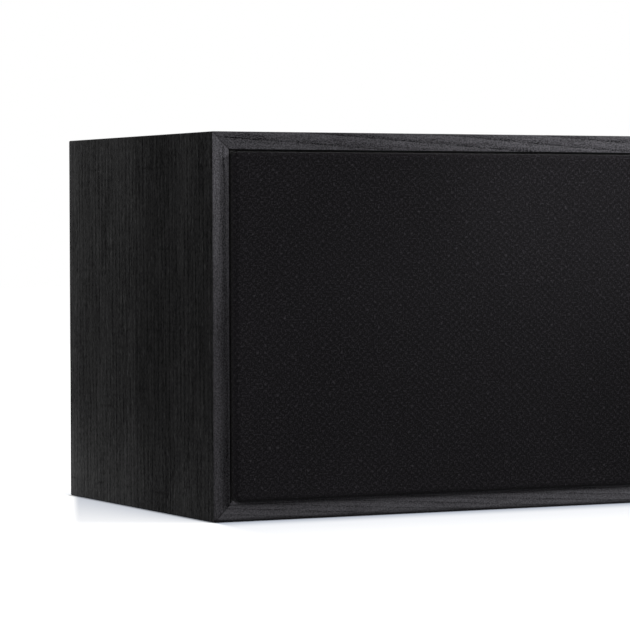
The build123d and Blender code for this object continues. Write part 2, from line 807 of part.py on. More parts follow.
with BuildPart() as tweeter_top_plate_ring:
    revolve(
        ring_section(
            tweeter_plane, tweeter_gap, tweeter_boss_radius, tweeter_boss_depth, tweeter_magnet_face
        ),
        axis=tweeter_axis,
    )
save(tweeter_top_plate_ring.part, "tweeter_top_plate")

with BuildPart() as tweeter_magnet:
    revolve(
        ring_section(
            tweeter_plane,
            tweeter_magnet_bore,
            tweeter_boss_radius,
            tweeter_magnet_face,
            tweeter_yoke_face,
        ),
        axis=tweeter_axis,
    )
save(tweeter_magnet.part, "tweeter_magnet")

pole_top = tweeter_boss_depth + seat_gap
tweeter_yoke_outline = [
    (0, pole_top),
    (tweeter_pole, pole_top),
    (tweeter_pole, tweeter_yoke_face),
    (tweeter_boss_radius, tweeter_yoke_face),
    (tweeter_boss_radius, tweeter_yoke_face + tweeter_yoke_plate),
    (0, tweeter_yoke_face + tweeter_yoke_plate),
]
with BuildPart() as tweeter_pole_yoke:
    revolve(half_section(tweeter_plane, *tweeter_yoke_outline), axis=tweeter_axis)
save(tweeter_pole_yoke.part, "tweeter_pole_yoke")
save(driver_screws(0, tweeter_screw_circle, tweeter_screws), "tweeter_screws")

# Port: a flared tube. Depths are counted inward from the rear face.
port_plane = turning(rear_y, port_x, mid_z, inward=-1)
port_outer = port_radius + port_wall
with BuildPart() as port_tube:
    with BuildSketch(port_plane):
        with BuildLine():
            RadiusArc((port_mouth, 0), (port_radius, port_flare), -port_flare)
            Polyline(
                (port_radius, port_flare),
                (port_radius, port_length),
                (port_outer, port_length),
                (port_outer, port_flare + port_wall),
                (port_mouth + port_wall, rear_flange_thickness),
                (port_flange_radius, rear_flange_thickness),
                (port_flange_radius, 0),
                (port_mouth, 0),
            )
        make_face()
    revolve(axis=axis_of(port_plane))
save(port_tube.part, "port_tube")

# Terminal cup: a moulded dish with a flange let into the rear panel.
post_hole = post_radius + seat_gap / 2
with BuildPart() as terminal_cup:
    with BuildSketch(facing(rear_y, 0, mid_z)):
        RectangleRounded(cup_flange_width, cup_flange_height, cup_corner)
    extrude(amount=rear_flange_thickness)
    with BuildSketch(facing(rear_y, 0, mid_z)):
        RectangleRounded(cup_width, cup_height, cup_corner)
    extrude(amount=cup_depth + cup_wall, taper=cup_taper)
    with BuildSketch(facing(rear_y, 0, mid_z)):
        RectangleRounded(cup_width - 2 * cup_wall, cup_height - 2 * cup_wall, cup_corner - cup_wall)
    extrude(amount=cup_depth, taper=cup_taper, mode=Mode.SUBTRACT)
    with BuildSketch(facing(rear_y, 0, mid_z)):
        with GridLocations(post_spacing, 0, 2, 1):
            Circle(post_hole)
    extrude(amount=cup_depth + cup_wall, mode=Mode.SUBTRACT)
    with BuildSketch(facing(rear_y, 0, mid_z)):
        with GridLocations(cup_screw_x, cup_screw_z, 2, 2):
            Circle(screw_radius + hole_gap)
    extrude(amount=rear_flange_thickness, mode=Mode.SUBTRACT)
    with BuildSketch(facing(rear_y, 0, mid_z)):
        with GridLocations(cup_screw_x, cup_screw_z, 2, 2):
            Circle(screw_head_radius + hole_gap)
    extrude(amount=screw_head_depth, taper=countersink, mode=Mode.SUBTRACT)
save(terminal_cup.part, "terminal_cup")

# Binding posts, their caps and the nuts that hold them in the cup.
collar_face = cup_depth - post_collar
cap_end = collar_face - cap_lift
wire_hole_depth = collar_face - post_wire_hole - cap_lift
post_end = cup_depth + cup_wall + post_tail
for name, side in (("negative", -1), ("positive", 1)):
    post_x = side * post_spacing / 2
    post_plane = turning(rear_y, post_x, mid_z, inward=-1)
    bore_end = post_sunk + post_bore_depth
    post_outline = [
        (post_bore, post_sunk),
        (post_radius, post_sunk),
        (post_radius, collar_face),
        (post_collar_radius, collar_face),
        (post_collar_radius, cup_depth),
        (post_radius, cup_depth),
        (post_radius, post_end),
        (0, post_end),
        (0, bore_end),
        (post_bore, bore_end),
    ]
    wire_hole_plane = Plane(
        origin=(post_x, rear_y - wire_hole_depth, mid_z), x_dir=(1, 0, 0), z_dir=(0, 0, 1)
    )
    with BuildPart() as post:
        revolve(half_section(post_plane, *post_outline), axis=axis_of(post_plane))
        with BuildSketch(wire_hole_plane):
            Circle(post_wire_hole)
        extrude(amount=2 * post_radius, both=True, mode=Mode.SUBTRACT)
    save(post.part, f"{name}_post")
    with BuildPart() as post_cap:
        with BuildSketch(facing(rear_y - post_sunk, post_x, mid_z)):
            Circle(cap_radius)
            with PolarLocations(cap_radius, cap_flutes):
                Circle(cap_flute_radius, mode=Mode.SUBTRACT)
            Circle(post_radius + cap_clearance, mode=Mode.SUBTRACT)
        extrude(amount=cap_end - post_sunk)
    save(post_cap.part, f"{name}_post_cap")

with BuildPart() as post_nuts:
    with BuildSketch(facing(rear_y - cup_depth - cup_wall, 0, mid_z)):
        with GridLocations(post_spacing, 0, 2, 1):
            RegularPolygon(nut_width / 2, 6, major_radius=False)
            Circle(post_radius + glue_gap, mode=Mode.SUBTRACT)
    extrude(amount=nut_thickness)
save(post_nuts.part, "post_nuts")

with BuildPart() as terminal_cup_screws:
    with BuildSketch(facing(rear_y, 0, mid_z)):
        with GridLocations(cup_screw_x, cup_screw_z, 2, 2):
            Circle(screw_radius)
    extrude(amount=screw_length)
    with BuildSketch(facing(rear_y, 0, mid_z)):
        with GridLocations(cup_screw_x, cup_screw_z, 2, 2):
            Circle(screw_head_radius)
    extrude(amount=screw_head_depth, taper=countersink)
save(terminal_cup_screws.part, "terminal_cup_screws")

# Crossover: a board on standoffs that stick to the bottom wall, with its coils, capacitors and resistors.
board_bottom = wall + standoff_height
board_top = board_bottom + board_thickness
hole_x = board_width - 2 * board_inset
hole_y = board_depth - 2 * board_inset


def level(z):
    """A level plane at a height, over the crossover's middle."""
    return Plane(origin=(0, inside_mid_y, z))


with BuildPart() as crossover_board:
    with BuildSketch(level(board_bottom)):
        Rectangle(board_width, board_depth)
        with GridLocations(hole_x, hole_y, 2, 2):
            Circle(standoff_pin + glue_gap, mode=Mode.SUBTRACT)
    extrude(amount=board_thickness)
save(crossover_board.part, "crossover_board")

with BuildPart() as crossover_standoffs:
    with BuildSketch(level(wall)):
        with GridLocations(hole_x, hole_y, 2, 2):
            Circle(standoff_foot)
    extrude(amount=standoff_foot_thickness)
    with BuildSketch(level(wall)):
        with GridLocations(hole_x, hole_y, 2, 2):
            Circle(standoff_radius)
    extrude(amount=standoff_height)
    with BuildSketch(level(wall)):
        with GridLocations(hole_x, hole_y, 2, 2):
            Circle(standoff_pin)
    extrude(amount=standoff_height + board_thickness + standoff_pin_height)
save(crossover_standoffs.part, "crossover_standoffs")

inductor_y = board_depth / 2 - board_inset - standoff_foot - inductor_radius
with BuildPart() as crossover_inductors:
    with BuildSketch(level(board_top)):
        with Locations((-inductor_spacing / 2, inductor_y), (inductor_spacing / 2, inductor_y)):
            Circle(inductor_radius)
            Circle(inductor_bore, mode=Mode.SUBTRACT)
    extrude(amount=inductor_height)
save(crossover_inductors.part, "crossover_inductors")

capacitor_y = inside_mid_y + inductor_y - inductor_radius - capacitor_radius
capacitor_start = capacitor_inset - board_width / 2
resistor_x = board_width / 2 - resistor_inset - resistor_length / 2
with BuildPart() as crossover_capacitors:
    for step in range(2):
        capacitor_end = Plane(
            origin=(
                capacitor_start,
                capacitor_y - capacitor_spacing * step,
                board_top + capacitor_radius,
            ),
            x_dir=(0, 1, 0),
            z_dir=(1, 0, 0),
        )
        with BuildSketch(capacitor_end):
            Circle(capacitor_radius)
        extrude(amount=capacitor_length)
save(crossover_capacitors.part, "crossover_capacitors")

with BuildPart() as crossover_resistors:
    with BuildSketch(level(board_top)):
        with Locations(
            (resistor_x, capacitor_y - inside_mid_y),
            (resistor_x, capacitor_y - inside_mid_y - capacitor_spacing),
        ):
            Rectangle(resistor_length, resistor_size)
    extrude(amount=resistor_size)
save(crossover_resistors.part, "crossover_resistors")
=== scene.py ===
# %% [markdown]
# # A center channel loudspeaker in black ash
#
# The cabinet is a low, wide box of ash veneer, stained black, whose four boards meet in mitres. Its front
# edges frame a cloth grille. Behind the cloth sit two cone woofers and a dome tweeter, and the rear carries
# a port and two binding posts.
#
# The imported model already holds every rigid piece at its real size. This script gives each surface its
# finish, and makes the soft and fine pieces anew: the cloth, the rubber rolls, the foam, the screws.

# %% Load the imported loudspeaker
import json
import math
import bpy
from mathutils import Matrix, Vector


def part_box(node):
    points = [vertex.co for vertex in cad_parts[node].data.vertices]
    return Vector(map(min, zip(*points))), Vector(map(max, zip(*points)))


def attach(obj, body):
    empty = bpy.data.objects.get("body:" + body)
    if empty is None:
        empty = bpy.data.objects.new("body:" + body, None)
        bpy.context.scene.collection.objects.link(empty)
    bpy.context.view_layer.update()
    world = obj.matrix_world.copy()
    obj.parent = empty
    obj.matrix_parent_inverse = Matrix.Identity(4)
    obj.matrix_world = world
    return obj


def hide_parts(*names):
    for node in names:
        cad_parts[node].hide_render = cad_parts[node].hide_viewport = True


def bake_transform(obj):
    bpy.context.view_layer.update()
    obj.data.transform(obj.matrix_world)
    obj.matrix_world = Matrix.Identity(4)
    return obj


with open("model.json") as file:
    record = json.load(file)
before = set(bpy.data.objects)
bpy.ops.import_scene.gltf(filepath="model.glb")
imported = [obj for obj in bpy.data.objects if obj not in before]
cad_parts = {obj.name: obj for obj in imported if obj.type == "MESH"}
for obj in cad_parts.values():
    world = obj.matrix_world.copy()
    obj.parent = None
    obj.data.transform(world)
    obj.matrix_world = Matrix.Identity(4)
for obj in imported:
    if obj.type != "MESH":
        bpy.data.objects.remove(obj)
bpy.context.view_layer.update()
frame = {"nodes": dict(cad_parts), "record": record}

from types import SimpleNamespace

import bmesh
import bpy
import numpy as np
from mathutils import Matrix, Vector

# %% [markdown]
# ## Shader maths as sums
#
# A procedural finish is a chain of small sums on noise and waves. Wiring each Math node by hand hides the
# formula, so one class wraps a node's output socket. Adding or multiplying two of them adds the node.

# %% A socket that takes part in sums
class Field:
    """A value that changes over a surface: one output socket in a material's node tree."""

    def __init__(self, tree, socket):
        self.tree = tree
        self.socket = socket

    def node(self, kind, settings=None, sockets=None, output=0):
        """Adds a node of any type: its settings first, then the values or links of its sockets."""
        made = self.tree.nodes.new(kind)
        for name, value in (settings or {}).items():
            setattr(made, name, value)
        for key, value in (sockets or {}).items():
            if isinstance(value, Field):
                self.tree.links.new(value.socket, made.inputs[key])
            else:
                made.inputs[key].default_value = value
        return Field(self.tree, made.outputs[output])

    def math(self, operation, *values):
        """A Math node on the given values, or on this field alone."""
        return self.node("ShaderNodeMath", {"operation": operation}, dict(enumerate(values or (self,))))

    def __add__(self, other):
        return self.math("ADD", self, other)

    def __sub__(self, other):
        return self.math("SUBTRACT", self, other)

    def __rsub__(self, other):
        return self.math("SUBTRACT", other, self)

    def __mul__(self, other):
        return self.math("MULTIPLY", self, other)

    def __truediv__(self, other):
        return self.math("DIVIDE", self, other)

    def __pow__(self, other):
        return self.math("POWER", self, other)

    __radd__ = __add__
    __rmul__ = __mul__

    def size(self):
        """This field without its sign."""
        return self.math("ABSOLUTE")

    def at_least(self, low):
        """This field, or low where it is less."""
        return self.math("MAXIMUM", self, low)

    def at_most(self, high):
        """This field, or high where it is more."""
        return self.math("MINIMUM", self, high)

    def wave(self, length):
        """A sine along this field, from -1 to 1, one turn for each length."""
        return (self * (2 * math.pi / length)).math("SINE")

    def ramp(self, low, high):
        """0 at low and 1 at high, with a smooth step between."""
        sockets = {"Value": self, "From Min": low, "From Max": high}
        return self.node("ShaderNodeMapRange", {"interpolation_type": "SMOOTHSTEP"}, sockets)

    def xyz(self):
        """The three parts of a vector."""
        first = self.node("ShaderNodeSeparateXYZ", sockets={0: self})
        return [Field(self.tree, socket) for socket in first.socket.node.outputs]

    def vector(self, x, y, z):
        """A vector from three parts."""
        return self.node("ShaderNodeCombineXYZ", sockets={0: x, 1: y, 2: z})

    def noise(self, scale, detail=2.0, roughness=0.5):
        """Smooth noise from 0 to 1 over this vector, with scale cells to the metre."""
        sockets = {"Vector": self, "Scale": scale, "Detail": detail, "Roughness": roughness}
        return self.node("ShaderNodeTexNoise", sockets=sockets)

    def tint(self, low, high):
        """A colour between two, each a field or three numbers, by this field from 0 to 1."""
        ends = [end if isinstance(end, Field) else (*end, 1) for end in (low, high)]
        sockets = {0: self, 6: ends[0], 7: ends[1]}
        return self.node("ShaderNodeMix", {"data_type": "RGBA", "clamp_factor": True}, sockets, output=2)

    def bump(self, depth):
        """A normal for this field as a height, where 1 stands depth metres above 0."""
        return self.node("ShaderNodeBump", sockets={"Height": self, "Distance": depth, "Strength": 1.0})


def new_finish(name):
    """An empty material, its shader, and its Object coordinates in metres as a field."""
    material = bpy.data.materials.new(name)
    material.use_nodes = True
    tree = material.node_tree
    shader = tree.nodes["Principled BSDF"]
    return material, shader, Field(tree, tree.nodes.new("ShaderNodeTexCoord").outputs["Object"])


def set_shader(shader, **sockets):
    """Links the fields and puts the constants on the shader's own sockets; Base_Color is Base Color."""
    for key, value in sockets.items():
        socket = shader.inputs[key.replace("_", " ")]
        if isinstance(value, Field):
            value.tree.links.new(value.socket, socket)
        else:
            socket.default_value = value


print("a field takes part in +, -, *, / and **")

# %% [markdown]
# ## Black ash veneer
#
# Ash is ring porous: each year starts with a band of wide vessels, cut open along the board as dark dashes.
# A black stain leaves the wood between them a soft grey. The grain runs up the two end boards and along the
# top and bottom, so each board takes its own direction. Growth rings are shells about a leaning pith line:
# cutting them with the board gives straight lines on one face and long swoops on another, as in real
# timber, and they turn the corner as painted stripes would not.

# %% Rings, pores and fibres
UPRIGHT_GRAIN = dict(order=(0, 1, 2), pith=(-0.05, -0.5), lean=0.012, pitch=0.0044, wander=0.0012)
LEVEL_GRAIN = dict(order=(2, 1, 0), pith=(0.155, -0.05), lean=0.06, pitch=0.0030, wander=0.005)


def wood_grain(where, order, pith, lean, pitch, wander):
    """The fields of cut timber. order gives which coordinates run across, through and along the grain.

    Years: the distance from the pith line plus a slow wander, cut into pitches, and dark early wood at the
    start of each. The rest is noise stretched along the grain: cut off at a level for the dark pores and
    the pale flecks, and left smooth for the fibres, lines, clouds and grit.
    """
    places = where.xyz()
    across, through, along = (places[i] for i in order)

    def streaks(scale, stretch, detail=2.0):
        return where.vector(across, through, along / stretch).noise(scale, detail)

    side = across - pith[0] + along * lean
    deep = through - pith[1]
    distance = (side * side + deep * deep) ** 0.5 + (streaks(16, 5) - 0.5) * wander
    early = (1 - (distance / pitch).math("FRACT")) ** 3
    return SimpleNamespace(
        early=early,
        pores=streaks(1300, 9, 1.0).ramp(0.54, 0.70) * (early * 0.7 + 0.4),
        fleck=streaks(1050, 5, 1.0).ramp(0.57, 0.78),
        fibre=streaks(600, 24) - 0.5,
        line=streaks(900, 14) - 0.5,
        cloud=streaks(45, 2, 3.0) - 0.5,
        grit=streaks(1250, 1.8) - 0.5,
        fine=streaks(1800, 1.6, 1.0).ramp(0.25, 0.80),
        patch=streaks(70, 0.3, 1.0).ramp(0.46, 0.62),
    )


print("years, mm wide:", [round(1000 * grain["pitch"], 1) for grain in (UPRIGHT_GRAIN, LEVEL_GRAIN)])

# %% [markdown]
# The end boards' tone is darker at the front, steps up behind the middle, brightens in a band at the rear
# edge and grows towards the foot and the top: painted light and shade, laid into the veneer's colour. The
# veneer knife left faint level marks across them. The four front edges carry narrow strips of a finer, paler
# leaf, mitred at the corners with a dark glue line; the upright strips are painted lighter towards the top,
# the lower strip towards its middle, and a painted shade darkens the strips' lower edge. Beside the strips
# runs a thin ledge of bare board that the grille's edge meets: a painted shade darkens its outer band beside
# the end and top strips, and the lower ledge is painted lighter against the grille's shadow. Masks made from
# the coordinates place all of these, so nothing has to be unwrapped or painted by hand.

# %% End boards' painted light, edge strips and ledge
LEAF_TONE = 0.505
PAINTED_LIGHT_STEPS = (  # painted light: from one depth to another, the end boards' tone gains this much
    (-0.074, -0.056, 0.12),
    (-0.056, -0.038, -0.12),
    (-0.016, 0.008, 0.19),
    (0.006, 0.009, 0.26),
    (0.012, 0.080, 0.26),
    (0.076, 0.0985, 0.84),
    (0.0984, 0.0988, -1.20),
)
PAINTED_FOOT_LIGHT = (0.065, 0.0, 1.20)  # painted light like the steps, over the height and as a share: towards the foot here, the top below
PAINTED_TOP_LIGHT = (0.12, 0.20, 0.32)
MARK_PITCH = 0.043
MARK_START = 0.0535
MARK_WIDTH = 0.03  # as a share of the pitch
MARK_LOSS = 0.38
STRIP_WIDTH = 0.009
STRIP_SKIN = 0.0003
# painted shade in the ledge's outer band beside the strips: its width and how much tone it takes
LEDGE_SHADE_WIDTH = 0.0007
LEDGE_SHADE_LOSS = 0.85
SOFT_EDGE = 0.0001
GLUE_WIDTH = 0.0007
GLUE_LOSS = 0.6
# painted shade at the strips' lower edge: its height and how much tone it takes
LOWER_EDGE_SHADE_HEIGHT = 0.0028
LOWER_EDGE_SHADE_LOSS = 0.92
# painted light on the lower ledge, which lies in the grille's shadow
LOWER_LEDGE_PAINTED_LIGHT = 1.5
HALF_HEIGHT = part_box("left_panel")[1].z / 2
EDGE_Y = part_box("left_panel")[0].y
OPENING_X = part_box("right_panel")[1].x - STRIP_WIDTH
OPENING_Z = HALF_HEIGHT - STRIP_WIDTH


def end_tone_with_painted_light(y, z, wood):
    """The end boards' tone with its painted light and shade, and the knife's marks: level lines a pitch
    apart, in patches.
    """
    tone = LEAF_TONE + sum(y.ramp(start, end) * painted_light for start, end, painted_light in PAINTED_LIGHT_STEPS)
    tone = tone * (1 + sum(z.ramp(start, end) * painted_light for start, end, painted_light in (PAINTED_FOOT_LIGHT, PAINTED_TOP_LIGHT)))
    step = ((z - MARK_START) / MARK_PITCH + 0.5).math("FRACT") - 0.5
    return tone * (1 - step.size().ramp(MARK_WIDTH, 0.0) * wood.patch * MARK_LOSS)


def front_edge(x, y, z, level):
    """Where the strips lie, and the share of tone left by the ledge's painted shade, the glue and the
    painted shade at the strips' lower edge.

    A point's way inside the opening is the lesser of its ways in from an end and from top or bottom. The
    strips are the skin at the very front, the ledge lies inside the opening with a painted shade in its
    outer band, and the glue where both ways are alike. On the level boards that painted shade stays on the
    upper ledge, and the lower ledge is veneered like its strip and painted lighter, against the grille's
    shadow.
    """
    in_side = OPENING_X - x.size()
    in_height = OPENING_Z - (z - HALF_HEIGHT).size()
    inside = in_side.at_most(in_height)
    strip = y.ramp(EDGE_Y + 2 * STRIP_SKIN, EDGE_Y + STRIP_SKIN)
    ledge = inside.ramp(-SOFT_EDGE, 0.0) * (1 - strip)
    # painted shade in the ledge's outer band
    ledge_shade = ledge * inside.ramp(LEDGE_SHADE_WIDTH + SOFT_EDGE, LEDGE_SHADE_WIDTH)
    glue = strip * (in_side - in_height).size().ramp(GLUE_WIDTH, 0.0)
    # painted shade: the strips darken towards their lower edge
    lower_edge_shade = strip * z.ramp(LOWER_EDGE_SHADE_HEIGHT, 0.0)
    joints_and_edge_shade = (1 - glue * GLUE_LOSS) * (1 - lower_edge_shade * LOWER_EDGE_SHADE_LOSS)
    if not level:
        return strip, joints_and_edge_shade * (1 - ledge_shade * LEDGE_SHADE_LOSS)
    upper = z.ramp(0.9 * HALF_HEIGHT, 1.1 * HALF_HEIGHT)
    # the lower ledge is painted lighter against the grille's shadow
    pale = ledge * (1 - upper)
    return strip + pale, joints_and_edge_shade * (1 - ledge_shade * upper * LEDGE_SHADE_LOSS) + pale * LOWER_LEDGE_PAINTED_LIGHT


print("opening inside the strips, m:", round(2 * OPENING_X, 4), "x", round(2 * OPENING_Z, 4))

# %% [markdown]
# Black stain sinks in unevenly: early wood and pores drink more, the flecks between them stay paler. So one
# sum of the timber's fields gives the tone, and two end colours turn it into stain. A darker leaf shows its
# texture less than in proportion. The bump is shallow, since the veneer was sanded before it was stained,
# and the finish is matt: its roughness shifts with the fibres.

# %% Stained boards
ASH_DARK = (0.0015, 0.0015, 0.0016)
FACE_LIGHT = (0.112, 0.112, 0.113)
STRIP_LIGHT = (0.1125, 0.1095, 0.1205)
FACE_TONE = 0.14
TEXTURE_POWER = 0.6
STREAK_MEAN = 0.42
PORE_DEPTH = 0.00010


def black_ash(name, grain, strip_tone, strip_painted_light, strip_years, level):
    """Stained ash: the face's leaf and the front edge's strip, each a sum of the timber's fields.

    Face: the leaf's tone, with the end boards' painted light, plus texture that grows with a power of it.
    Strip: its tone times its streaks.
    The strips of the upright boards are painted lighter towards the top, and the lower strip towards its
    middle: painted light.
    """
    material, shader, where = new_finish(name)
    wood = wood_grain(where, **grain)
    x, y, z = where.xyz()
    texture = wood.fibre * 0.27 + wood.grit * 0.37 + wood.cloud * 0.12 + wood.fleck * 0.16
    texture = texture - wood.early * 0.07 - wood.pores * 0.06
    streak = wood.fine * 1.1 + wood.line * 0.9 + wood.cloud * 0.5 - wood.early * strip_years
    if level:
        above = z.ramp(0.0, 2 * HALF_HEIGHT)
        leaf = 1.0
        # painted light: the lower strip lighter towards its middle
        painted_light = (1 - above) * x.size().ramp(OPENING_X, 0.0)
        lively = 0.80 + above * 0.35
    else:
        # the end boards' tone, with its painted light and shade
        leaf = end_tone_with_painted_light(y, z, wood)
        # painted light: the upright strips lighter towards the top
        painted_light = z.ramp(0.8 * HALF_HEIGHT, 2 * HALF_HEIGHT)
        lively = 1.0
    face = leaf * FACE_TONE + texture * leaf**TEXTURE_POWER
    tone = (strip_tone + painted_light * strip_painted_light) * (1 + (streak - STREAK_MEAN) * lively)
    strip, light = front_edge(x, y, z, level)
    face_colour = (face * light).tint(ASH_DARK, FACE_LIGHT)
    strip_colour = (tone * light).tint(ASH_DARK, STRIP_LIGHT)
    set_shader(
        shader,
        Base_Color=strip.tint(face_colour, strip_colour),
        Roughness=0.62 + wood.pores * 0.2 - wood.fibre * 0.2,
        Normal=(wood.fleck * 0.3 + wood.fibre * 0.3 - wood.pores - wood.early * 0.25).bump(PORE_DEPTH),
        Specular_IOR_Level=0.005,
    )
    return material


ash_upright = black_ash("ash_grain_upright", UPRIGHT_GRAIN, 0.222, 0.26, 0.40, level=False)
ash_level = black_ash("ash_grain_level", LEVEL_GRAIN, 0.327, 0.135, 0.55, level=True)
print("ash finishes:", ash_upright.name, ash_level.name)

# %% [markdown]
# ## Moulded, painted and rubber finishes
#
# Most inner pieces have one colour with a fine grain: a mould's spark texture, orange peel in paint, the
# dull bloom of rubber. One function covers them, with the grain's size and depth as numbers, because they
# differ in nothing else.

# %% Finishes with an even grain
CLOUD_SCALE = 38
SMEAR_SCALE = 170


def even_grain(name, colour, roughness, scale, spread, depth, metallic=0.0, specular=0.5, coat=0.0):
    """One colour, varied by fine grain, smears of handling and broad clouds, with the grain as relief."""
    material, shader, where = new_finish(name)
    fine = where.noise(scale, 3.0, 0.6) - 0.5
    smear = where.noise(SMEAR_SCALE, 3.0) - 0.5
    cloud = where.noise(CLOUD_SCALE, 2.0) - 0.5
    tone = 0.5 + fine * spread + smear * 0.4 * spread + cloud * 0.5 * spread
    set_shader(
        shader,
        Base_Color=tone.tint([c * 0.5 for c in colour], [c * 1.5 for c in colour]),
        Roughness=roughness + fine * 0.3 + smear * 0.25 + cloud * 0.15,
        Metallic=metallic,
        Normal=fine.bump(depth),
        Specular_IOR_Level=specular,
        Coat_Weight=coat,
    )
    return material


EVEN_FINISHES = {  # colour, roughness, grains to the metre, spread of tone, depth of relief
    "black_board": ("rolled_paint", (0.013, 0.013, 0.014), 0.60, 620, 1.6, 5e-4, {"specular": 0.12}),
    "raw_board": ("bare_fibreboard", (0.36, 0.26, 0.17), 0.85, 700, 1.1, 1.5e-4, {"specular": 0.2}),
    "foam": ("open_foam", (0.06, 0.06, 0.066), 0.95, 420, 1.6, 4e-4, {"specular": 0.1}),
    "black_plastic": ("spark_texture", (0.018, 0.018, 0.019), 0.50, 1500, 1.3, 3.5e-4, {"specular": 0.2}),
    "rubber": ("matt_rubber", (0.017, 0.017, 0.018), 0.72, 1100, 1.0, 8e-5, {"specular": 0.25}),
    "basket_paint": ("powder_coat", (0.02, 0.02, 0.021), 0.45, 900, 1.1, 4e-4, {"specular": 0.25}),
    "ferrite": ("sintered_ferrite", (0.05, 0.05, 0.054), 0.55, 1300, 1.0, 1.2e-4, {"specular": 0.6}),
    "black_screw": ("black_oxide", (0.03, 0.03, 0.032), 0.38, 1600, 0.9, 3e-5, {"metallic": 0.7}),
    "red_plastic": ("red_moulding", (0.42, 0.012, 0.014), 0.24, 1200, 0.3, 1e-5, {"coat": 0.4}),
    "black_gloss": ("gloss_moulding", (0.014, 0.014, 0.015), 0.24, 1200, 0.4, 1e-5, {"coat": 0.4}),
    "white_plastic": ("natural_nylon", (0.7, 0.69, 0.64), 0.5, 800, 0.3, 3e-5, {}),
    "ceramic": ("cast_ceramic", (0.66, 0.64, 0.6), 0.8, 1000, 0.5, 1e-4, {"specular": 0.3}),
}
finishes = {slot: even_grain(*plain, **extra) for slot, (*plain, extra) in EVEN_FINISHES.items()}
print("even finishes:", len(finishes))

# %% [markdown]
# ## Paper, cotton and silk
#
# Paper cones are felted pulp with faint rings from the forming screen. The spider and the dome are woven, so
# they show threads. Both patterns follow the way the piece was made, so they get a direction: rings about
# the woofer's axis, and threads across and up.

# %% Cone paper and woven parts
DRIVER_HEIGHT = 0.1
WOOFER_REACH = sum(corner.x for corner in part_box("right_woofer_cone")) / 2
CONE_RINGS = 0.0021
COTTON_THREAD = 0.0005
SILK_THREAD = 0.0003


def radius_from(where, reach):
    """The distance from the nearer of two axes along Y that stand reach either side of the middle."""
    x, y, z = where.xyz()
    side = x.size() - reach
    up = z - DRIVER_HEIGHT
    return (side * side + up * up) ** 0.5, y


def pressed_pulp():
    """Cone paper: felted fibre as noise, with rings about the woofer's axis as fine relief."""
    material, shader, where = new_finish("pressed_pulp")
    radius, _ = radius_from(where, WOOFER_REACH)
    rings = radius.wave(CONE_RINGS)
    felt = where.noise(1700, 4.0, 0.7)
    cloud = where.noise(60, 2.0)
    tone = felt * 0.8 + cloud * 0.3 + rings * 0.04 - 0.05
    set_shader(
        shader,
        Base_Color=tone.tint((0.012, 0.012, 0.013), (0.05, 0.05, 0.053)),
        Roughness=0.75 + (felt - 0.5) * 0.3,
        Normal=(felt + rings * 0.25).bump(6e-5),
        Specular_IOR_Level=0.25,
    )
    return material


def woven(name, dark, light, thread, depth, roughness):
    """A plain weave: two crossed waves across and up, with the thread's width as their half length."""
    material, shader, where = new_finish(name)
    x, _, z = where.xyz()
    weave = x.wave(2 * thread) * z.wave(2 * thread)
    slub = where.noise(900, 2.0)
    tone = 0.5 + weave * 0.35 + (slub - 0.5) * 0.6
    set_shader(
        shader,
        Base_Color=tone.tint(dark, light),
        Roughness=roughness + (slub - 0.5) * 0.2,
        Normal=(weave + slub * 0.5).bump(depth),
        Specular_IOR_Level=0.2,
    )
    return material


cotton_dark, cotton_light = (0.22, 0.13, 0.045), (0.6, 0.42, 0.18)
silk_dark, silk_light = (0.012, 0.012, 0.013), (0.04, 0.04, 0.042)
finishes["cone_paper"] = pressed_pulp()
finishes["spider_cloth"] = woven("resin_cotton", cotton_dark, cotton_light, COTTON_THREAD, 8e-5, 0.8)
finishes["dome_textile"] = woven("coated_silk", silk_dark, silk_light, SILK_THREAD, 3e-5, 0.5)
print("woofer axes, m from the middle:", round(WOOFER_REACH, 4))

# %% [markdown]
# ## Turned metal and wound wire
#
# Steel plates and brass posts are turned on a lathe and plated, so the tool leaves one fine ring for each
# feed. Copper wire is wound turn on turn, and each turn takes the light a little differently.

# %% Steel, brass and copper
POST_REACH = sum(corner.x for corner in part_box("positive_post")) / 2
STEEL_FEED = 4e-4
BRASS_FEED = 3e-4
TOOL_MARK = 4e-6
WIRE_PITCH = 0.0007


def lathe_turned(name, dark, light, reach, feed, roughness):
    """Turned metal: fine tool rings about the axis, one for each feed of the tool."""
    material, shader, where = new_finish(name)
    radius, depth = radius_from(where, reach)
    rings = (radius + depth).wave(feed)
    smear = where.noise(240, 3.0)
    set_shader(
        shader,
        Base_Color=(smear * 0.7 + rings * 0.06 + 0.15).tint(dark, light),
        Roughness=roughness + (smear - 0.5) * 0.25,
        Metallic=1.0,
        Normal=rings.bump(TOOL_MARK),
    )
    return material


def wound_copper():
    """Enamelled wire: round turns side by side, and a colour that shifts a little from turn to turn."""
    material, shader, where = new_finish("wound_copper")
    _, y, z = where.xyz()
    lie = (y + z) / WIRE_PITCH
    turn = lie.wave(1.0)
    shift = where.vector(lie.math("FLOOR"), 0.0, 0.0).noise(0.7, 0.0)
    set_shader(
        shader,
        Base_Color=(shift + turn * 0.2).tint((0.28, 0.07, 0.022), (0.75, 0.3, 0.12)),
        Roughness=0.32 + (shift - 0.5) * 0.2,
        Metallic=1.0,
        Normal=turn.bump(1.2e-4),
        Coat_Weight=0.3,
    )
    return material


steel_dark, steel_light = (0.3, 0.3, 0.31), (0.62, 0.62, 0.62)
brass_dark, brass_light = (0.5, 0.3, 0.08), (0.9, 0.66, 0.3)
finishes["steel"] = lathe_turned("plated_steel", steel_dark, steel_light, WOOFER_REACH, STEEL_FEED, 0.35)
finishes["brass"] = lathe_turned("gilt_brass", brass_dark, brass_light, POST_REACH, BRASS_FEED, 0.22)
finishes["copper"] = wound_copper()
print("post axes, m from the middle:", round(POST_REACH, 4))

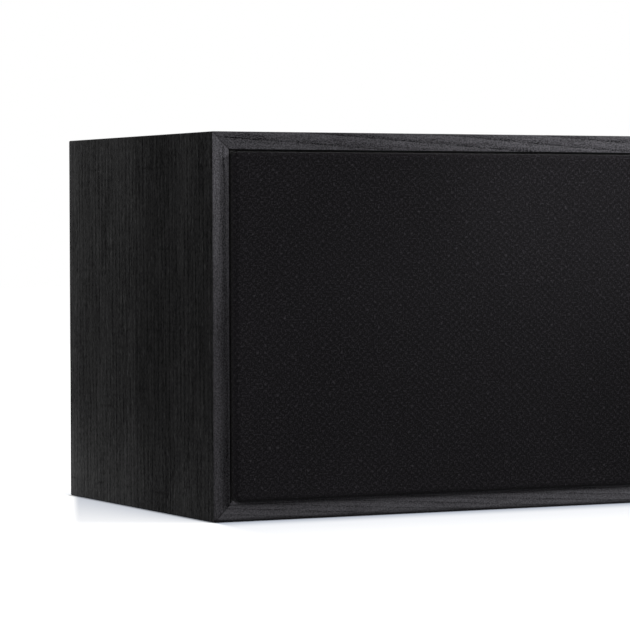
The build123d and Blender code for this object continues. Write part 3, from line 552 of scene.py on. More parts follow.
# %% [markdown]
# ## The crossover's parts
#
# The crossover splits the sound between the drivers. Its board is laminate under a green mask, with paler
# lines where copper runs beneath, and its capacitors are film wound up in yellow tape. Cells of a Voronoi
# pattern have edges that run and fork as tracks do.

# %% Board and capacitors
TRACK_CELLS = 90.0
TAPE_LAP = 0.006
TAPE_SLANT = 0.3


def printed_board():
    """Laminate under a green mask: copper tracks show as paler lines along the edges of random cells."""
    material, shader, where = new_finish("printed_board")
    settings = {"feature": "DISTANCE_TO_EDGE", "voronoi_dimensions": "2D"}
    cells = where.node("ShaderNodeTexVoronoi", settings, {"Vector": where, "Scale": TRACK_CELLS})
    track = cells.ramp(0.09, 0.05)
    cloth = where.noise(1500, 1.0)
    set_shader(
        shader,
        Base_Color=(track * 0.6 + cloth * 0.3).tint((0.012, 0.09, 0.03), (0.06, 0.24, 0.08)),
        Roughness=0.35 + (cloth - 0.5) * 0.15,
        Normal=(track + cloth * 0.1).bump(4e-5),
    )
    return material


def wrapped_film():
    """A film capacitor: yellow tape wound round, with soft overlaps along its length."""
    material, shader, where = new_finish("wrapped_film")
    x, _, z = where.xyz()
    lap = ((x + z * TAPE_SLANT) / TAPE_LAP).math("FRACT").ramp(0.0, 0.12)
    haze = where.noise(300, 2.0)
    set_shader(
        shader,
        Base_Color=(lap * 0.4 + haze * 0.6).tint((0.38, 0.25, 0.02), (0.72, 0.55, 0.1)),
        Roughness=0.3 + (haze - 0.5) * 0.2,
        Normal=lap.bump(5e-5),
    )
    return material


finishes["circuit_board"] = printed_board()
finishes["capacitor_film"] = wrapped_film()
print("finishes in all:", len(finishes))

# %% [markdown]
# ## Every CAD piece takes its finish
#
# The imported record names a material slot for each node. The four veneered boards pick the grain that runs
# along them, and all other nodes take their slot's finish.

# %% Dress the nodes
LEVEL_BOARDS = ("top_panel", "bottom_panel")
slot_of = {part["node"]: part["material_slot"] for part in frame["record"]["subparts"]}


def finish_for(node):
    """The finish of a node: its board's grain, or its slot's."""
    if slot_of[node] == "black_ash":
        return ash_level if node in LEVEL_BOARDS else ash_upright
    return finishes.get(slot_of[node], finishes["black_plastic"])


for node, thing in frame["nodes"].items():
    thing.data.materials.clear()
    thing.data.materials.append(finish_for(node))
print("nodes dressed:", len(frame["nodes"]))

# %% [markdown]
# ## Surfaces as arrays
#
# Every new piece here is a sheet of points: rows one way, columns the other. A turned part has its profile
# down the rows and the turn along the columns, so one small function can make a mesh of any of them. Where
# a row shrinks to one point, as at a screw's tip, the doubled points are merged afterwards.

# %% From an array of points to a piece
MERGE = 1e-7
SHARP = math.radians(35)


def quads_between(index):
    """One quad between each four neighbours of a grid of point numbers."""
    corners = [index[:-1, :-1], index[:-1, 1:], index[1:, 1:], index[1:, :-1]]
    return np.stack(corners, axis=-1).reshape(-1, 4)


def tidy_mesh(mesh):
    """Merges doubled points, turns the faces outwards and shades all but the sharp edges smooth."""
    work = bmesh.new()
    work.from_mesh(mesh)
    bmesh.ops.remove_doubles(work, verts=work.verts, dist=MERGE)
    bmesh.ops.dissolve_degenerate(work, edges=work.edges, dist=MERGE)
    bmesh.ops.recalc_face_normals(work, faces=work.faces)
    work.to_mesh(mesh)
    work.free()
    mesh.shade_smooth()
    mesh.set_sharp_from_angle(angle=SHARP)


def skin(name, grid, loop_rows=False, loop_columns=False, caps=False):
    """A mesh over a (rows, columns, 3) array.

    loop_rows and loop_columns join the last row or column to the first, and caps closes both end rows.
    """
    rows, columns = grid.shape[:2]
    index = np.arange(rows * columns).reshape(rows, columns)
    if loop_columns:
        index = np.hstack([index, index[:, :1]])
    if loop_rows:
        index = np.vstack([index, index[:1]])
    faces = quads_between(index).tolist()
    if caps:
        faces += [index[0, :columns].tolist(), index[-1, :columns].tolist()]
    mesh = bpy.data.meshes.new(name)
    mesh.from_pydata(grid.reshape(-1, 3).tolist(), [], faces)
    tidy_mesh(mesh)
    return mesh


def piece_of(mesh, finish, body=None, nodes=()):
    """An object for a mesh, with its finish, material slot and body, and the CAD nodes it stands for."""
    piece = bpy.data.objects.new(mesh.name, mesh)
    bpy.context.scene.collection.objects.link(piece)
    mesh.materials.append(finish)
    if nodes:
        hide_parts(*nodes)
    if body:
        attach(piece, body)
    print(f"{piece.name}: {len(mesh.polygons)} faces, for {', '.join(nodes) or 'no node'}")
    return piece


print("edges stay sharp over, degrees:", round(math.degrees(SHARP)))

# %% [markdown]
# ## The grille cloth
#
# The grille is one sheet of black knit, drawn over a frame with rolled edges, glued round its sides and
# turned in behind. A cloth simulation would only flatten what is already pulled tight, so the stretched
# shape is worked out: the face is a grid, and its rim is a profile carried round the grid's edge. The
# knit's stitches stand in staggered rows, and the grid is fine enough to raise each one.

# %% The knit's face
STITCH_WIDTH = 0.00437
STITCH_HEIGHT = 0.00393
STITCH_RISE = 0.00022
GRID_ACROSS = 4  # grid steps to one stitch
GRID_UP = 3
CLOTH_CORNER = 0.003
CLOTH_LOW, CLOTH_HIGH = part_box("grille_cloth")


def stitch_wave(across, up):
    """Stitches in staggered rows: the product of a cosine across and a cosine up, from -1 to 1."""
    return np.cos(2 * math.pi * across / STITCH_WIDTH) * np.cos(2 * math.pi * up / STITCH_HEIGHT)


def stitched_face():
    """The face inside its rounded corners: a grid sunk between the stitches, and level at its edge."""
    left, right = CLOTH_LOW.x + CLOTH_CORNER, CLOTH_HIGH.x - CLOTH_CORNER
    foot, head = CLOTH_LOW.z + CLOTH_CORNER, CLOTH_HIGH.z - CLOTH_CORNER
    x = np.linspace(left, right, round((right - left) / STITCH_WIDTH * GRID_ACROSS) + 1)
    z = np.linspace(foot, head, round((head - foot) / STITCH_HEIGHT * GRID_UP) + 1)
    x, z = np.meshgrid(x, z)
    sunk = STITCH_RISE * (0.5 - 0.5 * stitch_wave(x, z))
    edge = np.minimum.reduce([x - left, right - x, z - foot, head - z])
    sunk *= np.clip(edge / STITCH_WIDTH, 0, 1)
    return np.stack([x, CLOTH_LOW.y + sunk, z], axis=-1)


knit_face = stitched_face()
print("knit grid, rows x columns:", *knit_face.shape[:2])

# %% [markdown]
# The rim is where the cloth leaves the face: a quarter circle over the frame's rolled edge, a straight side,
# a tight fold and a hem behind. The same section, one thickness further in, makes the lining, so the sheet
# has two skins. Each corner of the face repeats its point in a fan, which turns the rim round it.

# %% The cloth's rim and lining
CLOTH_THICKNESS = 0.0008
CLOTH_ROLL = 0.0025
CLOTH_HEM = 0.0048
HEM_TURN = 0.0006
ROLL_STEPS = 7
FOLD_STEPS = 4
CORNER_STEPS = 7
cloth_depth = CLOTH_HIGH.y - CLOTH_LOW.y


def arc(middle, radius, start, end, steps):
    """Points of a circle's arc about middle, from one angle to another in degrees."""
    angle = np.radians(np.linspace(start, end, steps))
    return np.stack([middle[0] + radius * np.cos(angle), middle[1] + radius * np.sin(angle)], axis=-1)


def rim_profile(inset):
    """The rim's section as (outward, depth) from the face's edge, at a distance inside the outer skin."""
    roll = CLOTH_ROLL - inset
    flat = CLOTH_CORNER - CLOTH_ROLL
    turn = max(HEM_TURN - inset, 0.0)
    side = flat + roll
    back = cloth_depth - inset
    over = arc((flat, CLOTH_ROLL), roll, -90, 0, ROLL_STEPS)
    fold = arc((side - turn, back - turn), turn, 0, 90, FOLD_STEPS)
    return np.vstack([over, fold, [[CLOTH_CORNER - CLOTH_HEM, back]]])


def rim_path(index):
    """The face grid's edge as one loop of point numbers, with each corner repeated to fan round it.

    Returns the numbers and, for each, the direction that points outwards in the face's plane.
    """
    fan = np.radians(np.linspace(0, 90, CORNER_STEPS))
    runs = [index[0, 1:-1], index[1:-1, -1], index[-1, -2:0:-1], index[-2:0:-1, 0]]
    turns = [index[0, -1], index[-1, -1], index[-1, 0], index[0, 0]]
    path, heading = [], []
    for quarter, (run, corner) in enumerate(zip(runs, turns)):
        along = np.radians(90 * quarter - 90)
        path += [run, np.full(CORNER_STEPS, corner)]
        heading += [np.full(len(run), along), along + fan]
    angle = np.concatenate(heading)
    outward = np.stack([np.cos(angle), 0 * angle, np.sin(angle)], axis=-1)
    return np.concatenate(path), outward


def cloth_mesh(grid):
    """The sheet: the face, then rings for its rim and its lining.

    A ring's points are the face's edge, plus outward times the section's reach, plus the section's depth.
    Laid flat, for the UV map in metres, they are the edge plus outward times the length of cloth to there.
    """
    face = grid.reshape(-1, 3)
    index = np.arange(len(face)).reshape(grid.shape[:2])
    path, outward = rim_path(index)
    edge = face[path] * [1, 0, 1] + [0, CLOTH_LOW.y, 0]
    outer, lining = rim_profile(0.0), rim_profile(CLOTH_THICKNESS)[::-1]
    reach, depth = np.vstack([outer, lining]).T[:, :, None, None]
    rings = edge + outward * reach + depth * [0, 1, 0]
    length = np.cumsum(np.hypot(*np.diff(outer, axis=0, prepend=[[0, 0]]).T))
    length = np.concatenate([length, length[::-1]])[:, None, None]
    flat = np.vstack([face, (edge + outward * length).reshape(-1, 3)])[:, [0, 2]]

    loops = np.vstack([path, len(face) + np.arange(rings.size // 3).reshape(rings.shape[:2])])
    bands = quads_between(np.hstack([loops, loops[:, :1]]))
    quads = np.vstack([quads_between(index), bands]).tolist()
    faces = [list(dict.fromkeys(quad)) for quad in quads] + [loops[-1].tolist()]
    mesh = bpy.data.meshes.new("grille_knit")
    mesh.from_pydata(np.vstack([face, rings.reshape(-1, 3)]).tolist(), [], faces)
    layer = mesh.uv_layers.new(name="flat")
    corners = np.zeros(len(mesh.loops), int)
    mesh.loops.foreach_get("vertex_index", corners)
    layer.data.foreach_set("uv", flat[corners].astype(np.float32).ravel())
    tidy_mesh(mesh)
    return mesh


knit_mesh = cloth_mesh(knit_face)
print("knit points:", len(knit_mesh.vertices))

# %% [markdown]
# The knit's colour follows the same stitch wave through the cloth's own flat coordinates, stored as a UV map
# in metres. Raised stitches are painted a little lighter as painted light, the spaces between are nearly
# black, and a few painted glints stand for filaments catching the light. The yarn pulls each stitch a little
# out of line, so the wave wanders.

STITCH_WANDER = 0.0020
KNIT_DARK = (0.0024, 0.0022, 0.0026)
KNIT_LIGHT = (0.0245, 0.0230, 0.0259)
YARN_DEPTH = 1.5e-4


def grille_knit():
    """Black knit: a staggered stitch wave, yarn noise inside each stitch, and sparse painted glints."""
    material, shader, where = new_finish("black_knit")
    flat = where.node("ShaderNodeUVMap", {"uv_map": "flat"})
    across, up, _ = flat.xyz()
    across = across + (flat.noise(420, 0.0) - 0.5) * STITCH_WANDER
    up = up + (flat.noise(380, 0.0) - 0.5) * STITCH_WANDER
    wave = (across * (2 * math.pi / STITCH_WIDTH)).math("COSINE")
    wave = wave * (up * (2 * math.pi / STITCH_HEIGHT)).math("COSINE")
    yarn = flat.noise(1350, 1.0)
    cloud = flat.noise(14, 2.0)
    # painted glints: sparse patches where the raised stitches are painted bright
    glint_patches = flat.noise(330, 0.0).ramp(0.50, 0.80)
    painted_glint = wave.ramp(0.55, 0.95) * glint_patches
    # the stitch wave lifts the loops a little: painted light on the raised stitches
    loop = (yarn + wave * 0.05).ramp(0.40, 0.85)
    tone = 0.07 + loop * 0.75 + (cloud - 0.5) * 0.1 + painted_glint * 0.55
    set_shader(
        shader,
        Base_Color=tone.tint(KNIT_DARK, KNIT_LIGHT),
        Roughness=0.9,
        Normal=(yarn + wave * 0.4).bump(YARN_DEPTH),
        Specular_IOR_Level=0.02,
        Sheen_Weight=0.06,
        Sheen_Roughness=0.35,
    )
    return material


cloth = piece_of(knit_mesh, grille_knit(), "grille", ["grille_cloth"])

# %% [markdown]
# ## Rolls and spiders
#
# A woofer's cone hangs between a rubber half roll at its rim and a pleated cotton spider at its neck. Both
# are fixed at one edge and ride with the cone at the other. Each is turned from its profile, and a share of
# the cone's travel, growing smoothly from the fixed edge to the moving one, is worked out for every point
# but not kept.

# %% Half rolls and pleats
RUBBER = 0.0009
LIP_WIDTH = 0.0026
OVER_STEPS = 25
UNDER_STEPS = 21
SPIDER_INNER = 0.01295
SPIDER_THICKNESS = 0.0006
SPIDER_PLEATS = 3.5
SPIDER_FLAT = 0.004
SPIDER_STEPS = 90


def turned(profile, centre, steps=96):
    """A turned surface: each (radius, depth) pair is carried round an axis along Y through centre.

    x = centre x + radius cos(turn), y = centre y + depth, z = centre z + radius sin(turn).
    """
    radius, depth = np.asarray(profile, float).T[:, :, None]
    turn = np.linspace(0, 2 * math.pi, steps, endpoint=False)
    x = centre[0] + radius * np.cos(turn)
    y = centre[1] + depth + 0 * turn
    z = centre[2] + radius * np.sin(turn)
    return np.stack([x, y, z], axis=-1)


def half_roll(side, front):
    """The rubber roll's section, its depths from the basket's front, and its moving and fixed radius.

    A flat lip on the cone, a half circle and a flat rim on the basket, then back along the under side.
    """
    whole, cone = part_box(f"{side}_woofer_surround"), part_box(f"{side}_woofer_cone")
    back = whole[1].y - front
    face = back - RUBBER
    roll = face - (whole[0].y - front)
    under_roll = roll - RUBBER
    inner = (cone[1].x - cone[0].x) / 2
    lip = inner - LIP_WIDTH
    middle = inner + roll
    rim = (whole[1].x - whole[0].x) / 2
    over = arc((middle, face), roll, 180, 360, OVER_STEPS)
    under = arc((middle, face), under_roll, 0, -180, UNDER_STEPS)
    upper_skin = [[lip, face], *over, [rim, face]]
    under_skin = [[rim, back], [middle + under_roll, back], *under, [middle - under_roll, back], [lip, back]]
    return np.array(upper_skin + under_skin), inner, middle + roll


def pleats(side, front):
    """The spider's section and radii as above: a sine of pleats between two flat bands, and its back."""
    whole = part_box(f"{side}_woofer_spider")
    near, far = whole[0].y - front, whole[1].y - front - SPIDER_THICKNESS
    rim = (whole[1].x - whole[0].x) / 2
    radius = np.linspace(SPIDER_INNER, rim, SPIDER_STEPS)
    moving, fixed = SPIDER_INNER + SPIDER_FLAT, rim - SPIDER_FLAT
    share = np.clip((radius - moving) / (fixed - moving), 0, 1)
    depth = (near + far) / 2 + (far - near) / 2 * np.sin(2 * math.pi * SPIDER_PLEATS * share)
    face = np.stack([radius, depth], axis=-1)
    return np.vstack([face, face[::-1] + [0, SPIDER_THICKNESS]]), moving, fixed


def give(piece, centre, moving, fixed):
    """Fixes a piece's transform and works out a share of the cone's travel for each point: all of it inside
    moving, none outside fixed, smooth between. The share is not kept.
    """
    outside = (centre[0] + fixed, 0, centre[2])
    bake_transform(piece)
    points = np.zeros(len(piece.data.vertices) * 3, np.float32)
    piece.data.vertices.foreach_get("co", points)
    x, _, z = points.reshape(-1, 3).T
    share = np.clip((fixed - np.hypot(x - centre[0], z - centre[2])) / (fixed - moving), 0, 1)


for side in ("left", "right"):
    low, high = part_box(f"{side}_woofer_basket")
    centre = Vector(((low.x + high.x) / 2, low.y, (low.z + high.z) / 2))
    for name, node, section, slot in (
        (f"{side}_roll", f"{side}_woofer_surround", half_roll, "rubber"),
        (f"{side}_pleated_spider", f"{side}_woofer_spider", pleats, "spider_cloth"),
    ):
        profile, moving, fixed = section(side, centre.y)
        mesh = skin(name, turned(profile, centre), loop_rows=True, loop_columns=True)
        give(piece_of(mesh, finishes[slot], nodes=[node]), centre, moving, fixed)

# %% [markdown]
# ## Screws
#
# The drivers and the terminal cup are held by countersunk wood screws. A screw is a turned piece with two
# departures: a cross is sunk in its head, and a thread winds along its shank. Both are small changes of
# depth or radius that depend on the angle, so the whole screw is one surface.

# %% Cross-headed wood screws
SCREW_HEAD = 0.0036
SCREW_SHANK = 0.0019
SCREW_LENGTH = 0.013
HEAD_RADII = np.array([0, 0.4, 0.55, 0.75, 1.0, 1.3, 1.6, 1.9, 2.1, 2.25, 2.7, 3.2, 3.55, 3.6]) * 1e-3
HEAD_EDGE = 5e-5
CROSS_WIDTH = 0.00055
CROSS_REACH = 0.0021
CROSS_DEPTH = 0.0011
CROSS_SIDE = 1.5e-4  # over which the cross's sides and its ends slope
CROSS_END = 2e-4
THREAD_PITCH = 0.0015
THREAD_RISE = 0.00035
SHANK_STEPS = 42
SCREW_STEPS = 48
TOUCHING = 1e-6


def screw_surface(place, into):
    """A wood screw that points along Y. into is 1 where the head faces the front, and -1 the rear.

    Head: depth sinks inside a cross, where the smaller of |x| and |z| is under the slot's half width.
    Shank: radius grows on a ridge where the depth is a whole number of pitches ahead of the turn.
    """
    neck = SCREW_HEAD - SCREW_SHANK
    root = np.full(SHANK_STEPS, SCREW_SHANK - THREAD_RISE)
    shank = np.linspace(neck, SCREW_LENGTH - SCREW_SHANK, SHANK_STEPS)
    turn = np.linspace(0, 2 * math.pi, SCREW_STEPS, endpoint=False)
    radius = np.concatenate([HEAD_RADII, root, [0.0]])[:, None] + 0 * turn
    depth = np.concatenate([0 * HEAD_RADII, shank, [SCREW_LENGTH]])[:, None] + 0 * turn
    depth[len(HEAD_RADII) - 1] = HEAD_EDGE
    on_shank = (depth > neck) & (depth < SCREW_LENGTH)
    ridge = 1 - np.abs(2 * ((depth / THREAD_PITCH - turn / (2 * math.pi)) % 1) - 1)
    radius = radius + np.where(on_shank, THREAD_RISE * ridge**2, 0)
    x, z = radius * np.cos(turn), radius * np.sin(turn)
    in_slot = np.clip((CROSS_WIDTH - np.minimum(np.abs(x), np.abs(z))) / CROSS_SIDE + 0.5, 0, 1)
    in_reach = np.clip((CROSS_REACH - radius) / CROSS_END, 0, 1) * (depth < TOUCHING)
    depth = depth + CROSS_DEPTH * in_slot * in_reach
    return np.stack([place[0] + x, place[1] + into * depth, place[2] + z], axis=-1)


def joined(name, meshes):
    """One mesh that holds several separate ones."""
    work = bmesh.new()
    for mesh in meshes:
        work.from_mesh(mesh)
        bpy.data.meshes.remove(mesh)
    whole = bpy.data.meshes.new(name)
    work.to_mesh(whole)
    work.free()
    whole.shade_smooth()
    whole.set_sharp_from_angle(angle=SHARP)
    return whole


for node, into in (
    ("left_woofer_screws", 1),
    ("right_woofer_screws", 1),
    ("tweeter_screws", 1),
    ("terminal_cup_screws", -1),
):
    low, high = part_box(node)
    head_y = low.y if into > 0 else high.y
    sides, heights = (low.x + SCREW_HEAD, high.x - SCREW_HEAD), (low.z + SCREW_HEAD, high.z - SCREW_HEAD)
    places = [(x, head_y, z) for x in sides for z in heights]
    screws = [skin("screw", screw_surface(place, into), loop_columns=True) for place in places]
    name = node.replace("screws", "wood_screws")
    piece_of(joined(name, screws), finishes["black_screw"], "cabinet", [node])

# %% [markdown]
# ## Binding-post caps
#
# The caps are moulded nuts that clamp a bare wire. Their sides are fluted for the fingers, and both ends are
# rounded over. A fluted cap is a turned profile whose radius dips at twelve angles.

# %% Fluted caps
CAP_FLUTES = 12
FLUTE_STEPS = 10
FLUTE_DEPTH = 0.0008
CAP_ROUND = 0.0012
CAP_BORE = 0.0033
ROUND_STEPS = 6
SIDE_STEPS = 14
BORE_BEVEL = 0.0006
MOUTH_BEVEL = 0.0009


def fluted_cap(node):
    """A tube with rounded ends. Its outer radius dips at each flute, and the dip fades out at the ends."""
    low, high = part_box(node)
    middle = np.array([(low.x + high.x) / 2, 0.0, (low.z + high.z) / 2])
    outer = (high.x - low.x) / 2
    shoulder = outer - CAP_ROUND
    side = np.linspace(low.y + 2 * CAP_ROUND, high.y - 2 * CAP_ROUND, SIDE_STEPS)
    profile = np.vstack([
        [[CAP_BORE, low.y], [CAP_BORE + BORE_BEVEL, low.y]],
        arc((shoulder, low.y + CAP_ROUND), CAP_ROUND, -90, 0, ROUND_STEPS),
        np.stack([np.full(SIDE_STEPS, outer), side], axis=-1),
        arc((shoulder, high.y - CAP_ROUND), CAP_ROUND, 0, 90, ROUND_STEPS),
        [[CAP_BORE + MOUTH_BEVEL, high.y], [CAP_BORE, high.y - BORE_BEVEL]],
    ])
    steps = CAP_FLUTES * FLUTE_STEPS
    turn = np.linspace(0, 2 * math.pi, steps, endpoint=False)
    dip = (0.5 + 0.5 * np.cos(CAP_FLUTES * turn)) ** 2
    on_side = np.clip((profile[:, 0] - shoulder) / CAP_ROUND, 0, 1)
    shrink = 1 - FLUTE_DEPTH / outer * dip * on_side[:, None]
    surface = turned(profile, (0, 0, 0), steps)
    surface[:, :, [0, 2]] *= shrink[:, :, None]
    return surface + middle


for pole, slot in (("positive", "red_plastic"), ("negative", "black_gloss")):
    node = f"{pole}_post_cap"
    mesh = skin(f"{pole}_fluted_cap", fluted_cap(node), loop_rows=True, loop_columns=True)
    piece_of(mesh, finishes[slot], f"{pole}_cap", [node])

# %% [markdown]
# ## Polarity signs
#
# A raised plus and minus are moulded into the floor of the terminal cup, above the posts. Each is an outline
# lofted in three rings: its foot, its shoulder and a slightly smaller top.

# %% Plus and minus
SIGN_REACH = 0.0030
SIGN_HALF = 0.0007
SIGN_RISE = 0.0006
SIGN_EDGE = 0.00015
SIGN_ABOVE = 0.0135
CUP_DEPTH = 0.0215


def sign_rings(outline, middle):
    """Three copies of a closed outline: on the floor, near the top, and drawn in a little at the top."""
    outline = np.asarray(outline, float)
    x, z = np.stack([outline, outline, outline - np.sign(outline) * SIGN_EDGE]).T.swapaxes(1, 2)
    rise = np.array([-SIGN_EDGE, SIGN_RISE - SIGN_EDGE, SIGN_RISE])[:, None] + 0 * x
    return np.stack([middle[0] + x, middle[1] + rise, middle[2] + z], axis=-1)


far, near = SIGN_REACH, SIGN_HALF
minus = [(far, near), (-far, near), (-far, -near), (far, -near)]
plus = [
    (far, near), (near, near), (near, far), (-near, far), (-near, near), (-far, near),
    (-far, -near), (-near, -near), (-near, -far), (near, -far), (near, -near), (far, -near),
]
cup_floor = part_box("terminal_cup")[1].y - CUP_DEPTH
for name, outline, pole in (("plus_sign", plus, 1), ("minus_sign", minus, -1)):
    middle = (pole * POST_REACH, cup_floor, DRIVER_HEIGHT + SIGN_ABOVE)
    mesh = skin(name, sign_rings(outline, middle), loop_columns=True, caps=True)
    piece_of(mesh, finishes["black_plastic"], "cabinet")

# %% [markdown]
# ## Foam inside the end walls
#
# Convoluted foam soaks up the sound behind the woofers. Its open face is a field of rounded pegs and dips:
# the product of two sines. The pad is lofted in sections from front to rear, each a wavy line and a flat
# back.

# %% Convoluted foam pads
FOAM_CELL = 0.022
FOAM_BASE = 0.45  # the share of the thickness under the dips
FOAM_ROWS = 64
FOAM_COLUMNS = 72
for side, inward in (("left", 1), ("right", -1)):
    node = f"{side}_damping_pad"
    low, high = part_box(node)
    wall = low.x if inward > 0 else high.x
    y, z = np.linspace(low.y, high.y, FOAM_ROWS), np.linspace(low.z, high.z, FOAM_COLUMNS)
    y, z = np.meshgrid(y, z, indexing="ij")
    pegs = 0.5 + 0.5 * np.sin(2 * math.pi * y / FOAM_CELL) * np.sin(2 * math.pi * z / FOAM_CELL)
    open_face = wall + inward * (high.x - low.x) * (FOAM_BASE + (1 - FOAM_BASE) * pegs)
    front = np.stack([open_face, y, z], axis=-1)
    back = np.stack([wall + 0 * y, y, z], axis=-1)[:, ::-1]
    mesh = skin(f"{side}_convoluted_foam", np.hstack([front, back]), loop_columns=True, caps=True)
    pad = piece_of(mesh, finishes["foam"], "cabinet", [node])

# %% [markdown]
# ## Floor and surroundings
#
# The loudspeaker stands on a plain white sweep. The floor and the world read as white where they are seen,
# directly or in a reflection, and give only a little light of their own, so that the black finishes keep
# their depth. That white would wash out the real shadow, so a painted shade darkens the floor's white at the
# cabinet's foot: an even painted shade before the front, a painted cast shadow beside the ends, and a thin
# painted dark line where board meets floor. It depends on the place on the floor alone, so it is the same in
# every view.

# %% White floor and world
FLOOR_SIZE = 12.0
FLOOR_ALBEDO = 0.22
WHITE = (1, 1, 1)
BLACK = (0, 0, 0)
FRONT_SHADE = 0.33  # how much of its white the floor loses at the foot of the front, and how far out
FRONT_REACH = 0.16
END_SHADE = 0.53  # the same at the foot of the ends
SHADOW_SLOPE = 2.45  # the ends' shadow runs this far forward for each step outward
SHADOW_FADE = 2.1
SHADOW_EDGE = 0.012
SHADOW_TAIL = 0.03
REAR_REACH = 0.03
CREVICE = 0.004  # the dark line where the boards meet the floor
CREVICE_SHADE = 0.7
SHADE_COLOUR = (0.0, 0.05, 0.16)
AMBIENT = 0.12
TINY = 1e-5


def seen_rays(tree):
    """1 for camera, glossy and transmission rays, and 0 for light that only falls on something."""
    path = tree.nodes.new("ShaderNodeLightPath")
    kinds = ("Camera", "Glossy", "Transmission")
    camera, glossy, passed = (Field(tree, path.outputs[f"Is {kind} Ray"]) for kind in kinds)
    return camera.at_least(glossy).at_least(passed)


def white_world():
    """A world that is white to look at and dim as a lamp."""
    world = bpy.data.worlds.new("white_sweep")
    world.use_nodes = True
    seen = seen_rays(world.node_tree)
    background = world.node_tree.nodes["Background"]
    background.inputs["Color"].default_value = (*WHITE, 1)
    world.node_tree.links.new((seen * (1 - AMBIENT) + AMBIENT).socket, background.inputs["Strength"])
    bpy.context.scene.world = world


def foot_shade(where):
    """How much of its white the floor loses to painted shade, from 0 far away, and where the painted crevice
    is.

    Before and behind the cabinet the painted loss falls evenly with the distance. Beside it lies a painted
    soft shadow, as of light from above and behind: it starts at the rear corners and runs forward and
    outward, so each point is shaded by a point of the end's foot further back, and the shadow thins out
    towards the front corner.
    """
    x, y, _ = where.xyz()
    low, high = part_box("bottom_panel")
    beside = (x.size() - high.x).at_least(0.0)
    before = ((y - (low.y + high.y) / 2).size() - (high.y - low.y) / 2).at_least(0.0)
    away = (beside * beside + before * before) ** 0.5
    even = (1 - away / FRONT_REACH).at_least(0.0) * (1 - beside / (away + TINY)) ** 2 * FRONT_SHADE
    even = even * y.ramp(high.y + REAR_REACH, high.y)
    shaded_by = y + beside * SHADOW_SLOPE
    thin = beside * SHADOW_FADE / (shaded_by - low.y).at_least(TINY)
    cast = (1 - thin).at_least(0.0) * shaded_by.ramp(high.y, high.y - SHADOW_EDGE)
    cast = cast * y.ramp(low.y - SHADOW_TAIL, low.y + SHADOW_EDGE) * END_SHADE
    return even + cast, away.ramp(CREVICE, 0.0) * CREVICE_SHADE


def white_floor():
    """A level sheet under the loudspeaker: diffuse, plus a glow for the rays that see it."""
    half = FLOOR_SIZE / 2
    corners = np.array([[[-half, -half, 0], [half, -half, 0]], [[-half, half, 0], [half, half, 0]]])
    mesh = skin("floor", corners)
    floor = bpy.data.objects.new("floor", mesh)
    bpy.context.scene.collection.objects.link(floor)
    material, shader, where = new_finish("white_floor")
    material.cycles.emission_sampling = "NONE"
    tree = material.node_tree
    shade, crevice = foot_shade(where)
    glow = crevice.tint(shade.tint(WHITE, SHADE_COLOUR), BLACK)
    matt = where.node("ShaderNodeBsdfDiffuse", sockets={"Color": (FLOOR_ALBEDO,) * 3 + (1,)})
    light = where.node("ShaderNodeEmission", sockets={"Color": glow})
    both = where.node("ShaderNodeAddShader", sockets={0: matt, 1: light})
    sweep = where.node("ShaderNodeMixShader", sockets={0: seen_rays(tree), 1: matt, 2: both})
    tree.links.new(sweep.socket, tree.nodes["Material Output"].inputs["Surface"])
    tree.nodes.remove(shader)
    mesh.materials.append(material)


white_world()
white_floor()
print("stage: floor", FLOOR_SIZE, "m wide, and world")

# %% [markdown]
# ## Studio light
#
# A soft key stands to the front right, above the cabinet. It rakes across the front, so the grille throws a
# narrow shadow on the left and lower edges of its frame. A narrow spot beside it adds a pool of light high
# on the front. A weak fill from the left lifts the front, a dim lamp gives the left end its own light, and
# one behind does the same for the rear.

# %% Lamps
MIDDLE = Vector((0.0, 0.0, 0.1))
KEY_PLACE = Vector((1.16, -0.99, 0.67))
KEY_TARGET = Vector((-0.15, -0.09, 0.10))
KEY_SIZE = 0.42
KEY_POWER = 32.0
POOL_PLACE = Vector((1.14, -1.25, 1.05))
POOL_TARGET = Vector((-0.02, -0.094, 0.187))
POOL_ANGLE = math.radians(6.4)
POOL_SIZE = 0.04
POOL_POWER = 190.0
FILL_PLACE = Vector((-0.70, -1.20, 0.50))
FILL_SIZE = 0.5
FILL_POWER = 6.3
END_PLACE = Vector((-1.20, -0.38, 0.40))
END_SIZE = 0.40
END_POWER = 6.0
REAR_PLACE = Vector((0.8, 1.6, 1.1))
REAR_SIZE = 0.6
REAR_POWER = 40.0


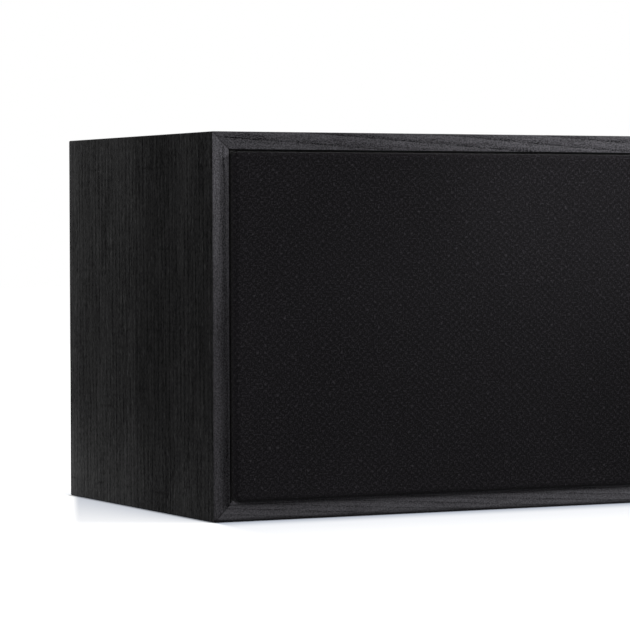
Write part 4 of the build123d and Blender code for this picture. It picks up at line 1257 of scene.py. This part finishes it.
def lamp(name, kind, place, target, power):
    """Adds a lamp of a kind and a power at a place, pointed at a target and unseen by the camera."""
    light = bpy.data.lights.new(name, kind)
    light.energy = power
    thing = bpy.data.objects.new(name, light)
    thing.location = place
    thing.rotation_euler = (target - place).to_track_quat("-Z", "Y").to_euler()
    thing.visible_camera = False
    bpy.context.scene.collection.objects.link(thing)
    print(f"{name} lamp: {power} W")
    return light


key = lamp("key", "AREA", KEY_PLACE, KEY_TARGET, KEY_POWER)
key.shape = "DISK"
key.size = KEY_SIZE
pool = lamp("pool", "SPOT", POOL_PLACE, POOL_TARGET, POOL_POWER)
pool.spot_size = POOL_ANGLE
pool.spot_blend = 1.0
pool.shadow_soft_size = POOL_SIZE
fill = lamp("fill", "AREA", FILL_PLACE, KEY_TARGET, FILL_POWER)
fill.size = FILL_SIZE
end = lamp("end", "AREA", END_PLACE, MIDDLE, END_POWER)
end.size = END_SIZE
rear = lamp("rear", "AREA", REAR_PLACE, MIDDLE, REAR_POWER)
rear.size = REAR_SIZE

# %% [markdown]
# ## The photographer's view
#
# The camera stands in front and to the left, a little above the middle of the cabinet, with a long lens. Its
# numbers come from fitting the eight straight edges that the picture shows: the lens from how fast the
# edges draw together, the angles from where they point.

# %% Camera
IMAGE_LONG_SIDE = 631
FOCAL_PIXELS = 3188.0
AZIMUTH = math.radians(26.57)
PITCH = math.radians(1.57)
ROLL = math.radians(-0.17)
DISTANCE = 1.6518
AIM = Vector((-0.192, -0.094, 0.1052))
SENSOR = 36.0
FAR_CLIP = 100

back = Vector((-math.sin(AZIMUTH) * math.cos(PITCH), -math.cos(AZIMUTH) * math.cos(PITCH), math.sin(PITCH)))
level = (-back).cross(Vector((0, 0, 1))).normalized()
upright = level.cross(-back)
right = level * math.cos(ROLL) + upright * math.sin(ROLL)
up = upright * math.cos(ROLL) - level * math.sin(ROLL)
camera = bpy.data.cameras.new("camera")
camera.sensor_width = SENSOR
camera.lens = FOCAL_PIXELS * SENSOR / IMAGE_LONG_SIDE
camera.clip_end = FAR_CLIP
viewer = bpy.data.objects.new("camera", camera)
stand = Matrix.Translation(AIM + back * DISTANCE)
viewer.matrix_world = stand @ Matrix((right, up, back)).transposed().to_4x4()
bpy.context.scene.collection.objects.link(viewer)
bpy.context.scene.camera = viewer
bpy.context.scene.view_settings.view_transform = "Standard"
print("lens, mm:", round(camera.lens, 1))
